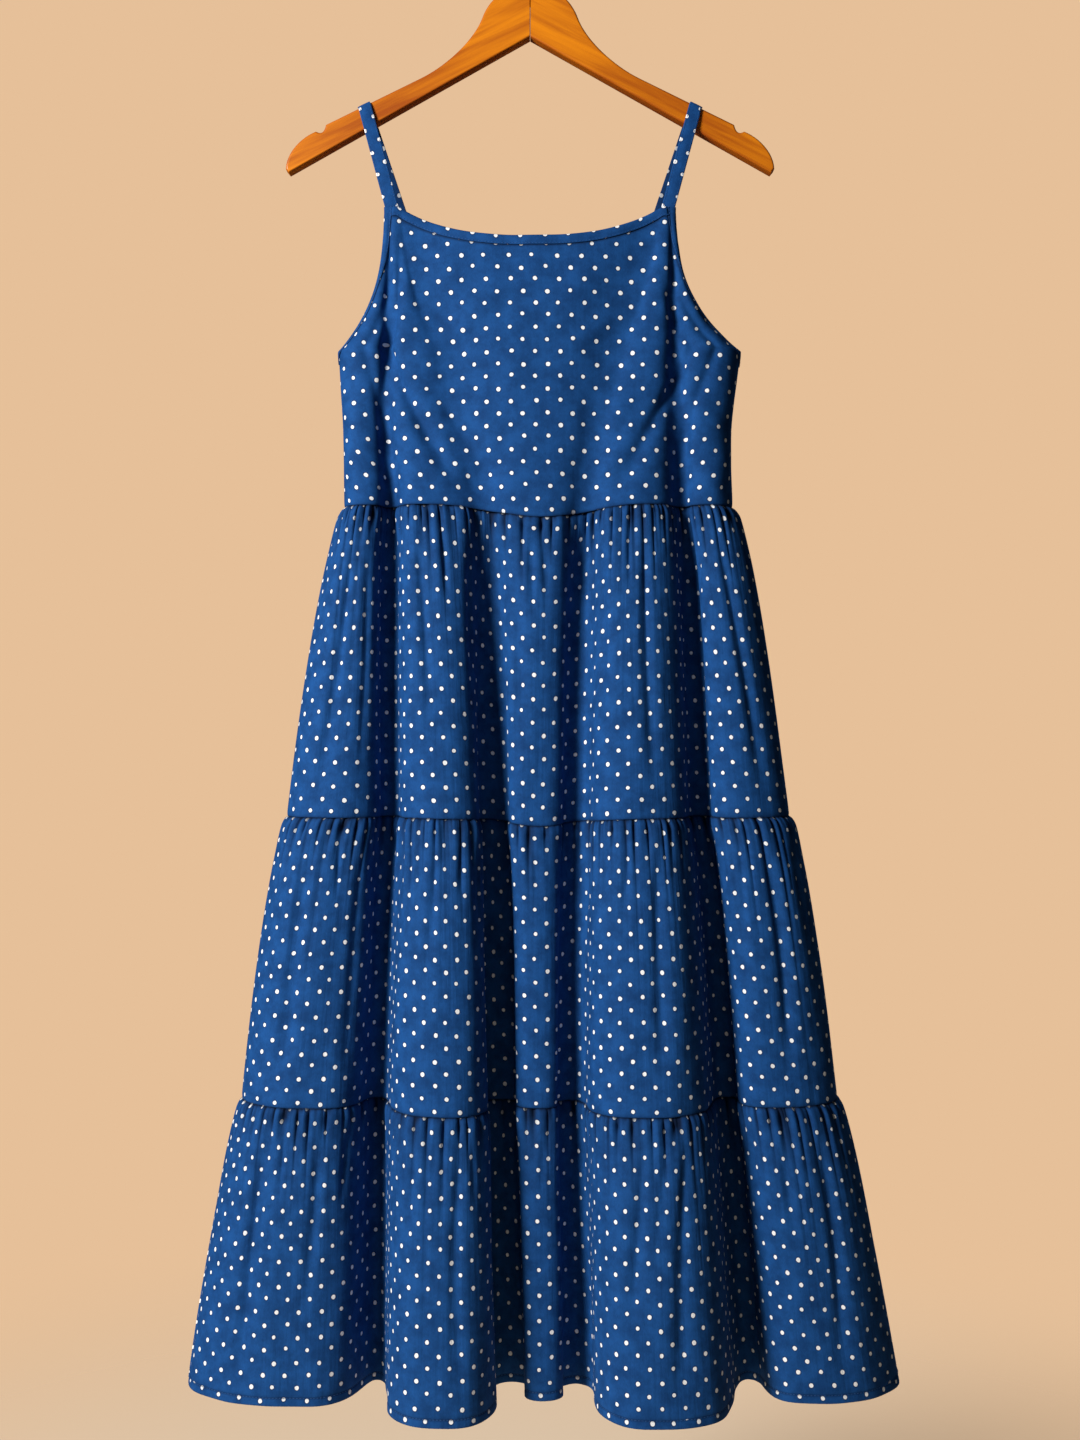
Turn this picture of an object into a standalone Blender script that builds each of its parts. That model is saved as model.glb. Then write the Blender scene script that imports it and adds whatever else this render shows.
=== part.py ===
"""Tiered maxi dress with narrow shoulder straps, hung on a wooden hanger.

Lengths are in metres and +Z is up. The dress faces -Y, and +X is on the right of someone
who looks at its front. The origin is the inside top of the hanger's hook, where the hook
rests on a rail. The side seams lie in the plane y = 0. A fold's depth is how far it stands
out from that plane, to the front on a front panel and to the back on a back panel.
"""

import math
from collections import namedtuple

import bmesh
import bpy
from mathutils import Vector

# Cloth
CLOTH_WALL = 0.0012
BAND_WALL = 0.0010
SEAM_GAP = 0.0003
WELD = 1e-7
FRONT = -1
BACK = 1

# Heights of the seams and edges, measured down from the inside top of the hook
STRAP_CORNER_Z = -0.270
NECK_DROP = 0.028
CHEST_Z = -0.396
WAIST_Z = -0.5385
WAIST_DIP = 0.012
WAIST_DIP_WIDTH = 0.052
SEAM_1_Z = -0.8180
SEAM_1_DIP = 0.008
SEAM_1_DIP_WIDTH = 0.045
SEAM_2_Z = -1.0730
SEAM_2_DIP = 0.003
SEAM_2_DIP_WIDTH = 0.150
HEM_Z = -1.3300
DIP_CENTRE_X = 0.010

# Shapes of the cut
ARMHOLE_POWER = 2.7
ARMHOLE_DEPTH_POWER = 0.8
NECK_POWER = 2.6
BAND_WIDTH = 0.0085
BAND_LIFT = 0.0010
BAND_COLUMNS = 2
BAND_END_GAP = 0.06
BAND_STEP = 0.04
UNDERARM_DROP = 0.40

# Shape of a fold between its ridge and its groove
RIDGE_REACH = 0.70
RIDGE_REACH_STEEP = 0.50
GROOVE_REACH = 0.32
GROOVE_REACH_STEEP = 0.12
STEEPEST = 1.4
SIDE_REACH = 0.55
SIDE_FLAT = 0.40
SIDE_LEVEL = 0.60
SIDE_TURN_POWER = 0.7
CURVE_STEPS = 14

# Gathers below each seam
GATHER_AT_SEAM = 0.0009
GATHER_SWELL = 0.0030
GATHER_SWELL_AT = 0.014
GATHER_LENGTH = 0.075
GATHER_SHAPE = (-1.0, 0.55, 0.45)
GATHER_FADE_POWER = 3
TIER_ROWS = (0.0, 0.05, 0.20, 0.50, 1.0)

# Straps
STRAP_WIDTH = 0.0120
STRAP_WALL = 0.0014
STRAP_TOP_X = 0.1506
STRAP_FRONT_X = 0.1248
STRAP_BACK_X = 0.1185
STRAP_TUCK = 0.010
STRAP_CLEAR = 0.0020
STRAP_SEAT_GAP = 0.0004
STRAP_EDGE_DEPTH = (0.0185, 0.0165)
STRAP_TUCK_DEPTH = (0.0166, 0.0148)
STRAP_TURN_DEG = (0, 28, 56, 84)

# Wooden hanger
HANGER_THICKNESS = 0.0130
HANGER_EDGE_ROUND = 0.0018
HANGER_TOP_Z = -0.0620
HANGER_APEX_Z = -0.1101
HANGER_NECK_RADIUS = 0.0460
HANGER_NECK_DEG = (78, 66, 54, 42, 31, 20)
HANGER_SHOULDER = (0.0990, -0.1476)
HANGER_NOTCH = ((0.1855, -0.1901), (0.1868, -0.1964), (0.1895, -0.1992), (0.1945, -0.1961))
HANGER_TIP_X = 0.2220
HANGER_TIP_Z = -0.2300
HANGER_TIP_BOTTOM = (0.2190, -0.2336)
HANGER_NOSE = ((0.2075, -0.2010), (0.2215, -0.2150))
NECK_HANDLE = 0.0235
MITRE_GAP = 0.0003

# Steel hook
HOOK_WIRE_RADIUS = 0.0019
HOOK_INNER_RADIUS = 0.0190
HOOK_TIP_DEG = 205.0
HOOK_SHANK_DEG = -62.0
HOOK_BEND_RADIUS = 0.0080
HOOK_SHANK_DEPTH = 0.0180
HOOK_BORE_GAP = 0.0003

# The folds of the skirt, as (x, depth) at each seam, from the left side seam to the right
SkirtFold = namedtuple("SkirtFold", "name waist seam_1 seam_2 hem")
SKIRT_FRONT = (
    SkirtFold("side_left", (-0.169, 0.000), (-0.221, 0.000), (-0.262, 0.000), (-0.311, 0.000)),
    SkirtFold("ridge_1", (-0.150, 0.028), (-0.168, 0.038), (-0.197, 0.050), (-0.205, 0.062)),
    SkirtFold("groove_1", (-0.1275, 0.010), (-0.127, 0.011), (-0.139, 0.014), (-0.139, 0.018)),
    SkirtFold("ridge_2", (-0.090, 0.034), (-0.076, 0.050), (-0.073, 0.074), (-0.074, 0.104)),
    SkirtFold("groove_2", (-0.039, 0.024), (-0.032, 0.015), (-0.026, 0.020), (-0.017, 0.030)),
    SkirtFold("ridge_3", (0.008, 0.038), (0.006, 0.029), (0.008, 0.038), (0.011, 0.050)),
    SkirtFold("groove_3", (0.048, 0.027), (0.040, 0.018), (0.035, 0.024), (0.042, 0.034)),
    SkirtFold("ridge_4", (0.093, 0.038), (0.097, 0.052), (0.106, 0.076), (0.112, 0.106)),
    SkirtFold("groove_4", (0.138, 0.013), (0.154, 0.011), (0.177, 0.014), (0.198, 0.017)),
    SkirtFold("ridge_5", (0.160, 0.028), (0.190, 0.037), (0.220, 0.046), (0.252, 0.056)),
    SkirtFold("side_right", (0.184, 0.000), (0.236, 0.000), (0.280, 0.000), (0.335, 0.000)),
)
SKIRT_BACK = (
    SkirtFold("side_left", (-0.169, 0.000), (-0.221, 0.000), (-0.262, 0.000), (-0.311, 0.000)),
    SkirtFold("ridge_1", (-0.143, 0.022), (-0.170, 0.034), (-0.205, 0.046), (-0.243, 0.060)),
    SkirtFold("groove_1", (-0.112, 0.013), (-0.126, 0.014), (-0.150, 0.018), (-0.172, 0.022)),
    SkirtFold("ridge_2", (-0.075, 0.028), (-0.083, 0.040), (-0.095, 0.054), (-0.106, 0.072)),
    SkirtFold("groove_2", (-0.035, 0.018), (-0.036, 0.018), (-0.038, 0.022), (-0.040, 0.028)),
    SkirtFold("ridge_3", (0.008, 0.030), (0.010, 0.040), (0.014, 0.052), (0.020, 0.066)),
    SkirtFold("groove_3", (0.047, 0.018), (0.055, 0.016), (0.066, 0.020), (0.078, 0.024)),
    SkirtFold("ridge_4", (0.088, 0.029), (0.103, 0.042), (0.122, 0.058), (0.142, 0.078)),
    SkirtFold("groove_4", (0.128, 0.013), (0.148, 0.014), (0.174, 0.016), (0.203, 0.020)),
    SkirtFold("ridge_5", (0.157, 0.022), (0.189, 0.032), (0.224, 0.044), (0.265, 0.056)),
    SkirtFold("side_right", (0.184, 0.000), (0.236, 0.000), (0.280, 0.000), (0.335, 0.000)),
)

# The folds of the bodice above the waist seam, which the skirt's waist column gives
BodiceFold = namedtuple("BodiceFold", "name top upper chest middle")
BODICE_FRONT = (
    BodiceFold("side_left", (-0.131, 0.0200), (-0.140, 0.012), (-0.174, 0.000), (-0.170, 0.000)),
    BodiceFold("ridge_1", (-0.1285, 0.0205), (-0.134, 0.019), (-0.144, 0.024), (-0.151, 0.027)),
    BodiceFold("groove_1", (-0.126, 0.0205), (-0.128, 0.015), (-0.130, 0.011), (-0.130, 0.010)),
    BodiceFold("ridge_2", (-0.121, 0.0220), (-0.115, 0.027), (-0.1055, 0.030), (-0.100, 0.033)),
    BodiceFold("groove_2", (-0.116, 0.0215), (-0.104, 0.021), (-0.082, 0.021), (-0.063, 0.022)),
    BodiceFold("ridge_3", (0.002, 0.0300), (0.004, 0.034), (0.005, 0.036), (0.005, 0.037)),
    BodiceFold("groove_3", (0.116, 0.0215), (0.102, 0.022), (0.082, 0.023), (0.062, 0.025)),
    BodiceFold("ridge_4", (0.121, 0.0220), (0.116, 0.028), (0.106, 0.033), (0.092, 0.037)),
    BodiceFold("groove_4", (0.126, 0.0205), (0.129, 0.018), (0.131, 0.016), (0.137, 0.014)),
    BodiceFold("ridge_5", (0.1285, 0.0205), (0.136, 0.021), (0.148, 0.026), (0.156, 0.027)),
    BodiceFold("side_right", (0.131, 0.0200), (0.144, 0.012), (0.191, 0.000), (0.183, 0.000)),
)
BODICE_BACK = (
    BodiceFold("side_left", (-0.125, 0.0180), (-0.137, 0.011), (-0.174, 0.000), (-0.170, 0.000)),
    BodiceFold("ridge_1", (-0.1230, 0.0185), (-0.130, 0.018), (-0.146, 0.020), (-0.146, 0.021)),
    BodiceFold("groove_1", (-0.1205, 0.0190), (-0.121, 0.015), (-0.120, 0.012), (-0.115, 0.012)),
    BodiceFold("ridge_2", (-0.117, 0.0200), (-0.108, 0.023), (-0.095, 0.026), (-0.084, 0.027)),
    BodiceFold("groove_2", (-0.1125, 0.0195), (-0.096, 0.019), (-0.070, 0.018), (-0.050, 0.018)),
    BodiceFold("ridge_3", (0.002, 0.0260), (0.004, 0.028), (0.006, 0.029), (0.007, 0.030)),
    BodiceFold("groove_3", (0.1125, 0.0195), (0.098, 0.019), (0.074, 0.018), (0.060, 0.018)),
    BodiceFold("ridge_4", (0.117, 0.0200), (0.110, 0.023), (0.100, 0.027), (0.094, 0.028)),
    BodiceFold("groove_4", (0.1205, 0.0190), (0.123, 0.015), (0.127, 0.012), (0.128, 0.012)),
    BodiceFold("ridge_5", (0.1230, 0.0185), (0.134, 0.018), (0.152, 0.021), (0.156, 0.021)),
    BodiceFold("side_right", (0.125, 0.0180), (0.141, 0.011), (0.191, 0.000), (0.183, 0.000)),
)

# The three tiers, with the number of gathers that each panel has along its top edge
Tier = namedtuple("Tier", "name top bottom flare front_gathers back_gathers")
TIERS = (
    Tier("tier_1", "waist", "seam_1", 0.68, 30, 26),
    Tier("tier_2", "seam_1", "seam_2", 0.68, 32, 27),
    Tier("tier_3", "seam_2", "hem", 0.77, 34, 29),
)
BODICE_COLUMNS = 42
CHEST_LEVEL = 2.0
BAND_LEVEL = 2.93
TOP_LEVEL = 3.0
BODICE_LEVELS = (0.0, 0.55, 1.25, CHEST_LEVEL, 2.16, 2.40, 2.70, BAND_LEVEL, TOP_LEVEL)
CHEST_ROW = 5

Finish = namedtuple("Finish", "colour roughness metallic")
FINISHES = {
    "dotted_cotton": Finish((0.017, 0.082, 0.290), 0.82, 0.0),
    "honey_wood": Finish((0.520, 0.190, 0.030), 0.35, 0.0),
    "polished_steel": Finish((0.620, 0.620, 0.640), 0.25, 1.0),
}


def clear_scene():
    for old in list(bpy.data.objects):
        bpy.data.objects.remove(old)


def finish(name):
    material = bpy.data.materials.get(name)
    if material is None:
        material = bpy.data.materials.new(name)
        material.use_nodes = True
        shader = material.node_tree.nodes["Principled BSDF"]
        shader.inputs["Base Color"].default_value = (*FINISHES[name].colour, 1.0)
        shader.inputs["Roughness"].default_value = FINISHES[name].roughness
        shader.inputs["Metallic"].default_value = FINISHES[name].metallic
    return material


def add_mesh(name, points, faces, finish_name, smooth_deg=40.0):
    mesh = bpy.data.meshes.new(name)
    mesh.from_pydata(points, [], faces)
    made = bmesh.new()
    made.from_mesh(mesh)
    bmesh.ops.remove_doubles(made, verts=made.verts, dist=WELD)
    bmesh.ops.recalc_face_normals(made, faces=made.faces)
    made.to_mesh(mesh)
    made.free()
    mesh.shade_smooth()
    mesh.set_sharp_from_angle(angle=math.radians(smooth_deg))
    mesh.materials.append(finish(finish_name))
    body = bpy.data.objects.new(name, mesh)
    bpy.context.scene.collection.objects.link(body)
    return body


def mix(a, b, share):
    return a + (b - a) * share


def bezier(corners, t):
    a, b, c, d = corners
    u = 1.0 - t
    return tuple(
        u**3 * a[k] + 3 * u * u * t * b[k] + 3 * u * t * t * c[k] + t**3 * d[k]
        for k in range(len(a))
    )


def through(values, place):
    """A smooth curve through evenly spaced values, read at a place counted in values."""
    i = min(max(int(place), 0), len(values) - 2)
    t = place - i
    before = values[max(i - 1, 0)]
    a, b = values[i], values[i + 1]
    after = values[min(i + 2, len(values) - 1)]
    slope_a, slope_b = (b - before) / 2, (after - a) / 2
    h = t * t * (3 - 2 * t)
    return mix(a, b, h) + slope_a * t * (1 - t) ** 2 - slope_b * t * t * (1 - t)


def fold_curves(keys, side_turn=1.0):
    """The section's curves, one from each fold line to the next.

    The keys start and end at a side seam, and between them ridges and grooves take turns.
    side_turn is 1 where the cloth leaves the side seam square to the plane of the seams,
    and 0 where it leaves along it.
    """
    curves = []
    last = len(keys) - 1
    for i in range(last):
        (x0, d0), (x1, d1) = keys[i], keys[i + 1]
        run = x1 - x0
        steep = min(abs(d1 - d0) / max(run, 1e-6), STEEPEST)
        ridge = run * (RIDGE_REACH + RIDGE_REACH_STEEP * steep / STEEPEST)
        groove = run * (GROOVE_REACH + GROOVE_REACH_STEEP * steep / STEEPEST)
        side = SIDE_REACH * max(d0, d1)
        start = ridge if i % 2 else groove
        end = groove if i % 2 else ridge
        handle_0 = (x0 + start, d0)
        handle_1 = (x1 - end, d1)
        if i == 0:
            flat = SIDE_FLAT * run * (1 - side_turn)
            handle_0 = (x0 + flat, d0 + side * side_turn)
            handle_1 = (x1 - SIDE_LEVEL * run, d1)
        if i == last - 1:
            flat = SIDE_FLAT * run * (1 - side_turn)
            handle_0 = (x0 + SIDE_LEVEL * run, d0)
            handle_1 = (x1 - flat, d1 + side * side_turn)
        curves.append(((x0, d0), handle_0, handle_1, (x1, d1)))
    return curves


class Section:
    """One level of a panel: its curves, with points spaced along them by length."""

    def __init__(self, keys, side_turn=1.0):
        self.runs = []
        for corners in fold_curves(keys, side_turn):
            points = [bezier(corners, k / CURVE_STEPS) for k in range(CURVE_STEPS + 1)]
            lengths = [0.0]
            for a, b in zip(points, points[1:]):
                lengths.append(lengths[-1] + math.dist(a, b))
            self.runs.append((points, lengths))
        self.lengths = [lengths[-1] for _, lengths in self.runs]

    def at(self, curve, share):
        points, lengths = self.runs[curve]
        target = share * lengths[-1]
        k = 0
        while k < len(points) - 2 and lengths[k + 1] < target:
            k += 1
        step = lengths[k + 1] - lengths[k]
        t = (target - lengths[k]) / step if step > 1e-9 else 0.0
        return tuple(mix(points[k][m], points[k + 1][m], t) for m in (0, 1))

    def along(self, distance):
        """The point at a distance along the whole section from its left end."""
        last = len(self.lengths) - 1
        for curve, length in enumerate(self.lengths):
            if distance <= length or curve == last:
                return self.at(curve, min(distance / length, 1.0))
            distance -= length


def column_places(section, columns):
    """Which curve, and how far along it, each of the evenly spaced columns falls."""
    total = sum(section.lengths)
    places = []
    for j in range(columns + 1):
        target = total * j / columns
        i = 0
        while i < len(section.lengths) - 1 and target > section.lengths[i]:
            target -= section.lengths[i]
            i += 1
        places.append((i, min(target / section.lengths[i], 1.0)))
    return places


def keys_between(top, bottom, share):
    return [
        (mix(a[0], b[0], share), mix(a[1], b[1], share)) for a, b in zip(top, bottom)
    ]


def dip(x, depth, width):
    return depth * math.exp(-(((x - DIP_CENTRE_X) / width) ** 2))


def seam_height(level, x):
    if level == "waist":
        return WAIST_Z - dip(x, WAIST_DIP, WAIST_DIP_WIDTH)
    if level == "seam_1":
        return SEAM_1_Z - dip(x, SEAM_1_DIP, SEAM_1_DIP_WIDTH)
    if level == "seam_2":
        return SEAM_2_Z - dip(x, SEAM_2_DIP, SEAM_2_DIP_WIDTH)
    return HEM_Z


def uneven(number, spread):
    """A fixed unevenness about 1 for each numbered gather."""
    wave = math.sin(number * 12.9898 + 4.1) * 43.758
    return 1.0 + spread * (2.0 * (wave - math.floor(wave)) - 1.0)


def side_normals(points):
    """Outward unit normals of a plan curve that runs from left to right, drawn out at bends."""
    normals = []
    last = len(points) - 1
    for i, here in enumerate(points):
        before, after = points[max(i - 1, 0)], points[min(i + 1, last)]
        legs = []
        for a, b in ((before, here), (here, after)):
            run, rise = b[0] - a[0], b[1] - a[1]
            size = math.hypot(run, rise)
            if size > 1e-9:
                legs.append((-rise / size, run / size))
        total = (sum(n[0] for n in legs), sum(n[1] for n in legs))
        size = math.hypot(*total)
        unit = (total[0] / size, total[1] / size)
        spread = unit[0] * legs[0][0] + unit[1] * legs[0][1]
        stretch = min(1.0 / max(spread, 0.3), 1.7)
        normals.append((unit[0] * stretch, unit[1] * stretch))
    return normals


def between(a, b, share):
    return tuple(mix(m, n, share) for m, n in zip(a, b))


class Panel:
    """The middle surface of a piece of cloth: a grid of (x, depth, z) points, top row first."""

    def __init__(self, rows, facing):
        self.rows = rows
        self.facing = facing
        self.normals = [side_normals([(x, d) for x, d, _ in row]) for row in rows]
        self.columns = len(rows[0]) - 1

    def corner(self, row, column, height):
        """A grid point, moved out from the middle surface by a height."""
        x, d, z = self.rows[row][column]
        nx, nd = self.normals[row][column]
        depth = max(d + nd * height, SEAM_GAP / 2)
        return (x + nx * height, self.facing * depth, z)

    def at(self, row_place, column_place, height):
        """A point over the panel's flat facets, its place counted in rows and columns."""
        row = min(int(row_place), len(self.rows) - 2)
        column = min(int(column_place), self.columns - 1)
        across = column_place - column
        upper, lower = (
            between(
                self.corner(r, column, height),
                self.corner(r, column + 1, height),
                across,
            )
            for r in (row, row + 1)
        )
        return between(upper, lower, row_place - row)

    def face(self, height):
        return [
            [self.corner(r, c, height) for c in range(self.columns + 1)]
            for r in range(len(self.rows))
        ]


def sheet_mesh(name, outer, inner, turn_column=None, turn_row=None):
    """A closed sheet between two grids of points that run from left to right and top down.

    Each cell is cut in two along one diagonal, the same on both faces. The other diagonal
    is used from the turn column or the turn row on, so that the two halves mirror.
    """
    across, down = len(outer[0]), len(outer)
    points = [p for row in outer for p in row] + [p for row in inner for p in row]
    shift = across * down
    faces = []
    for r in range(down - 1):
        for c in range(across - 1):
            a = r * across + c
            ring = (a, a + 1, a + across + 1, a + across)
            turned = turn_column is not None and c >= turn_column
            turned = turned or (turn_row is not None and r >= turn_row)
            if turned:
                ring = ring[1:] + ring[:1]
            for corners in (ring[:3], (ring[0], ring[2], ring[3])):
                faces.append(corners)
                faces.append(tuple(shift + k for k in reversed(corners)))
    rim = list(range(across))
    rim += [r * across + across - 1 for r in range(1, down)]
    rim += [(down - 1) * across + c for c in range(across - 2, -1, -1)]
    rim += [r * across for r in range(down - 2, 0, -1)]
    for a, b in zip(rim, rim[1:] + rim[:1]):
        faces.append((b, a, shift + a, shift + b))
    return add_mesh(name, points, faces, "dotted_cotton")


def panel_mesh(name, panel):
    faces = [panel.face(height) for height in (CLOTH_WALL / 2, -CLOTH_WALL / 2)]
    return sheet_mesh(name, *faces, turn_column=panel.columns // 2)


def tier_keys(folds, level):
    return [getattr(fold, level) for fold in folds]


def gather_height(number, fall):
    """How strongly a numbered gather stands out at a distance below its seam."""
    length = GATHER_LENGTH * uneven(number + 7, 0.45)
    rise = min(fall / GATHER_SWELL_AT, 1.0)
    swell = mix(GATHER_AT_SEAM, GATHER_SWELL * uneven(number, 0.25), rise)
    return swell * math.exp(-max(fall - GATHER_SWELL_AT, 0.0) / length)


def tier_panel(tier, folds, facing, gathers, side_name):
    """One gathered panel, from its seam down to the next seam or the hem."""
    top, bottom = tier_keys(folds, tier.top), tier_keys(folds, tier.bottom)
    columns = gathers * len(GATHER_SHAPE)
    places = column_places(Section(bottom), columns)
    ends = []
    for keys, level in ((top, tier.top), (bottom, tier.bottom)):
        section = Section(keys)
        marks = [section.at(i, share) for i, share in places]
        ends.append([seam_height(level, x) for x, _ in marks])
    rows = []
    for t in TIER_ROWS:
        section = Section(keys_between(top, bottom, t**tier.flare))
        plan = [section.at(i, share) for i, share in places]
        normals = side_normals(plan)
        row = []
        for j, ((x, d), (nx, nd)) in enumerate(zip(plan, normals)):
            z_top, z_bottom = ends[0][j] - SEAM_GAP, ends[1][j]
            fall = t * (z_top - z_bottom)
            wave = 0.0
            depth = SEAM_GAP / 2
            if 0 < j < columns:
                wave = GATHER_SHAPE[j % len(GATHER_SHAPE)] * (1.0 - t**GATHER_FADE_POWER)
                wave *= gather_height(j // len(GATHER_SHAPE), fall)
                depth = max(d + nd * wave, depth)
            row.append((x + nx * wave, depth, z_top - fall))
        rows.append(row)
    return panel_mesh(f"{tier.name}_{side_name}", Panel(rows, facing))


class Bodice:
    """The surface of one bodice panel.

    A level is a place in two blocks: from 0 at the waist to 2 at the chest, where the
    armholes start, and then from 2 at the chest to 3 at the neck and strap ends.
    """

    def __init__(self, bodice_folds, skirt_folds):
        self.folds = list(zip(skirt_folds, bodice_folds))

    def keys(self, level):
        keys = []
        share = level - CHEST_LEVEL
        for skirt, fold in self.folds:
            levels = (skirt.waist, fold.middle, fold.chest, fold.upper, fold.top)
            places = (level, level)
            if fold.name.startswith("side"):
                levels = levels[:3]
            elif share > 0:
                places = (2 + 2 * share,) * 2
            if fold.name.startswith("side") and share > 0:
                x_share = 1 - (1 - share) ** ARMHOLE_POWER
                d_share = share**ARMHOLE_DEPTH_POWER
                x = mix(fold.chest[0], fold.top[0], x_share)
                keys.append((x, mix(fold.chest[1], fold.top[1], d_share)))
            else:
                keys.append(tuple(through([v[k] for v in levels], places[k]) for k in (0, 1)))
        return keys

    def section(self, level):
        share = max(level - CHEST_LEVEL, 0.0)
        return Section(self.keys(level), 1 - share**SIDE_TURN_POWER)

    def band_reach(self, level, end):
        """How far along a level the armhole band reaches from the panel's edge."""
        share = max(level - CHEST_LEVEL, BAND_STEP)
        x0, x1 = (self.keys(CHEST_LEVEL + share - step)[end][0] for step in (BAND_STEP, 0.0))
        rise = BAND_STEP * (STRAP_CORNER_Z - CHEST_Z)
        return BAND_WIDTH * math.hypot(1.0, (x1 - x0) / rise)

    def plan(self, level):
        """One row of (x, depth), its outer columns along the edges of the armhole bands."""
        section = self.section(level)
        total = sum(section.lengths)
        left, right = self.band_reach(level, 0), self.band_reach(level, -1)
        marks = [0.0, left / 2]
        inner = BODICE_COLUMNS - 2 * BAND_COLUMNS
        for k in range(inner + 1):
            marks.append(mix(left, total - right, k / inner))
        marks += [total - right / 2, total]
        return [section.along(mark) for mark in marks]

    def top_height(self, x):
        inner = STRAP_FRONT_X - STRAP_WIDTH / 2
        side = min(abs(x) / inner, 1.0)
        return STRAP_CORNER_Z - NECK_DROP * (1 - side**NECK_POWER)

    def rows(self):
        waist, top = self.plan(0.0), self.plan(TOP_LEVEL)
        low = [seam_height("waist", x) + SEAM_GAP for x, _ in waist]
        high = [self.top_height(x) for x, _ in top]
        grid = []
        for level in reversed(BODICE_LEVELS):
            row = []
            for j, (x, d) in enumerate(self.plan(level)):
                if level == BAND_LEVEL:
                    z = high[j] - BAND_WIDTH
                elif level > CHEST_LEVEL:
                    z = mix(CHEST_Z, high[j], level - CHEST_LEVEL)
                else:
                    z = mix(low[j], CHEST_Z, level / CHEST_LEVEL)
                row.append((x, max(d, SEAM_GAP / 2), z))
            grid.append(row)
        return grid


def neck_band(name, panel):
    """The band along the neckline, between the armhole bands, on the outside of the panel."""
    start, stop = BAND_COLUMNS, panel.columns - BAND_COLUMNS
    columns = [start + BAND_END_GAP, *range(start + 1, stop), stop - BAND_END_GAP]
    faces = []
    for height in (BAND_LIFT + BAND_WALL, BAND_LIFT):
        faces.append([[panel.at(row, c, height) for c in columns] for row in (0, 1)])
    return sheet_mesh(name, *faces, turn_column=len(columns) // 2)


def armhole_half(panel, on_right, height):
    """Rows of points across one half of an armhole band, from the strap to the side seam."""
    edge, step = (panel.columns, -1) if on_right else (0, 1)
    half = UNDERARM_DROP / 2
    crossings = []
    for row in range(CHEST_ROW + 1):
        crossings.append([panel.at(row, edge + step * k, height) for k in range(3)])
    places = [(0, 0), (half / 2, 0.5), (half, 1)]
    crossings.append([panel.at(CHEST_ROW + r, edge + step * c, height) for r, c in places])
    crossings.append([panel.at(CHEST_ROW + k * half, edge, height) for k in range(3)])
    return crossings


def armhole_band(name, front, back, on_right):
    """One band round an armhole: down the front edge, under the arm and up the back edge."""
    faces = []
    for height in (BAND_LIFT + BAND_WALL, BAND_LIFT):
        down = armhole_half(front, on_right, height)
        up = armhole_half(back, on_right, height)
        under = [between(a, b, 0.5) for a, b in zip(down[-1], up[-1])]
        faces.append(down[:-1] + [under] + up[-2::-1])
    return sheet_mesh(name, *faces, turn_row=CHEST_ROW + 2)


def arm_top_height(x):
    """The height of the hanger's straight upper edge between its shoulder and its notch."""
    (x0, z0), (x1, z1) = HANGER_SHOULDER, HANGER_NOTCH[0]
    return mix(z0, z1, (x - x0) / (x1 - x0))


def arm_directions():
    """The unit vectors along the right arm's upper edge and square to it, as (x, z)."""
    (x0, z0), (x1, z1) = HANGER_SHOULDER, HANGER_NOTCH[0]
    size = math.dist((x0, z0), (x1, z1))
    along = ((x1 - x0) / size, (z1 - z0) / size)
    return along, (-along[1], along[0])


def strand_path(facing):
    """One strand's centre line, from over the middle of the arm to its tuck behind a panel."""
    end_x, edge_depth, tuck_depth = (
        pair[0 if facing == FRONT else 1]
        for pair in ((STRAP_FRONT_X, STRAP_BACK_X), STRAP_EDGE_DEPTH, STRAP_TUCK_DEPTH)
    )
    _, square = arm_directions()
    lift = STRAP_SEAT_GAP + STRAP_WALL / 2
    turn = HANGER_EDGE_ROUND + lift
    flat = HANGER_THICKNESS / 2 - HANGER_EDGE_ROUND
    top = (STRAP_TOP_X + square[0] * lift, arm_top_height(STRAP_TOP_X) + square[1] * lift)
    steps = [(top[0], 0.0, top[1])]
    for degrees in STRAP_TURN_DEG:
        angle = math.radians(degrees)
        fall = turn * (1 - math.cos(angle))
        depth = flat + turn * math.sin(angle)
        steps.append((top[0] - square[0] * fall, depth, top[1] - square[1] * fall))
    start = steps[-1]
    end = (end_x, edge_depth, STRAP_CORNER_Z + STRAP_CLEAR)
    steps += [between(start, end, 0.5), end]
    lean = (start[0] - end[0]) / (start[2] - end[2])
    drop = STRAP_TUCK + STRAP_CLEAR
    steps.append((end[0] - lean * drop, tuck_depth, end[2] - drop))
    return [Vector((x, facing * depth, z)) for x, depth, z in steps]


def strap(name, side):
    """A narrow strap over one arm of the hanger, its ends sewn behind the bodice's corners."""
    path = strand_path(FRONT)[::-1] + strand_path(BACK)[1:]
    (run, rise), _ = arm_directions()
    slope = Vector((run, 0.0, rise))
    points = []
    last = len(path) - 1
    for i, here in enumerate(path):
        along = (path[min(i + 1, last)] - path[max(i - 1, 0)]).normalized()
        across = (slope - along * slope.dot(along)).normalized()
        out = across.cross(along).normalized()
        for w, h in ((-1, -1), (1, -1), (1, 1), (-1, 1)):
            p = here + across * (w * STRAP_WIDTH / 2) + out * (h * STRAP_WALL / 2)
            points.append((side * p.x, p.y, p.z))
    faces = [(3, 2, 1, 0), tuple(4 * last + k for k in range(4))]
    for i in range(last):
        for k in range(4):
            a, b = 4 * i + k, 4 * i + (k + 1) % 4
            faces.append((a, b, b + 4, a + 4))
    return add_mesh(name, points, faces, "dotted_cotton")


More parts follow.
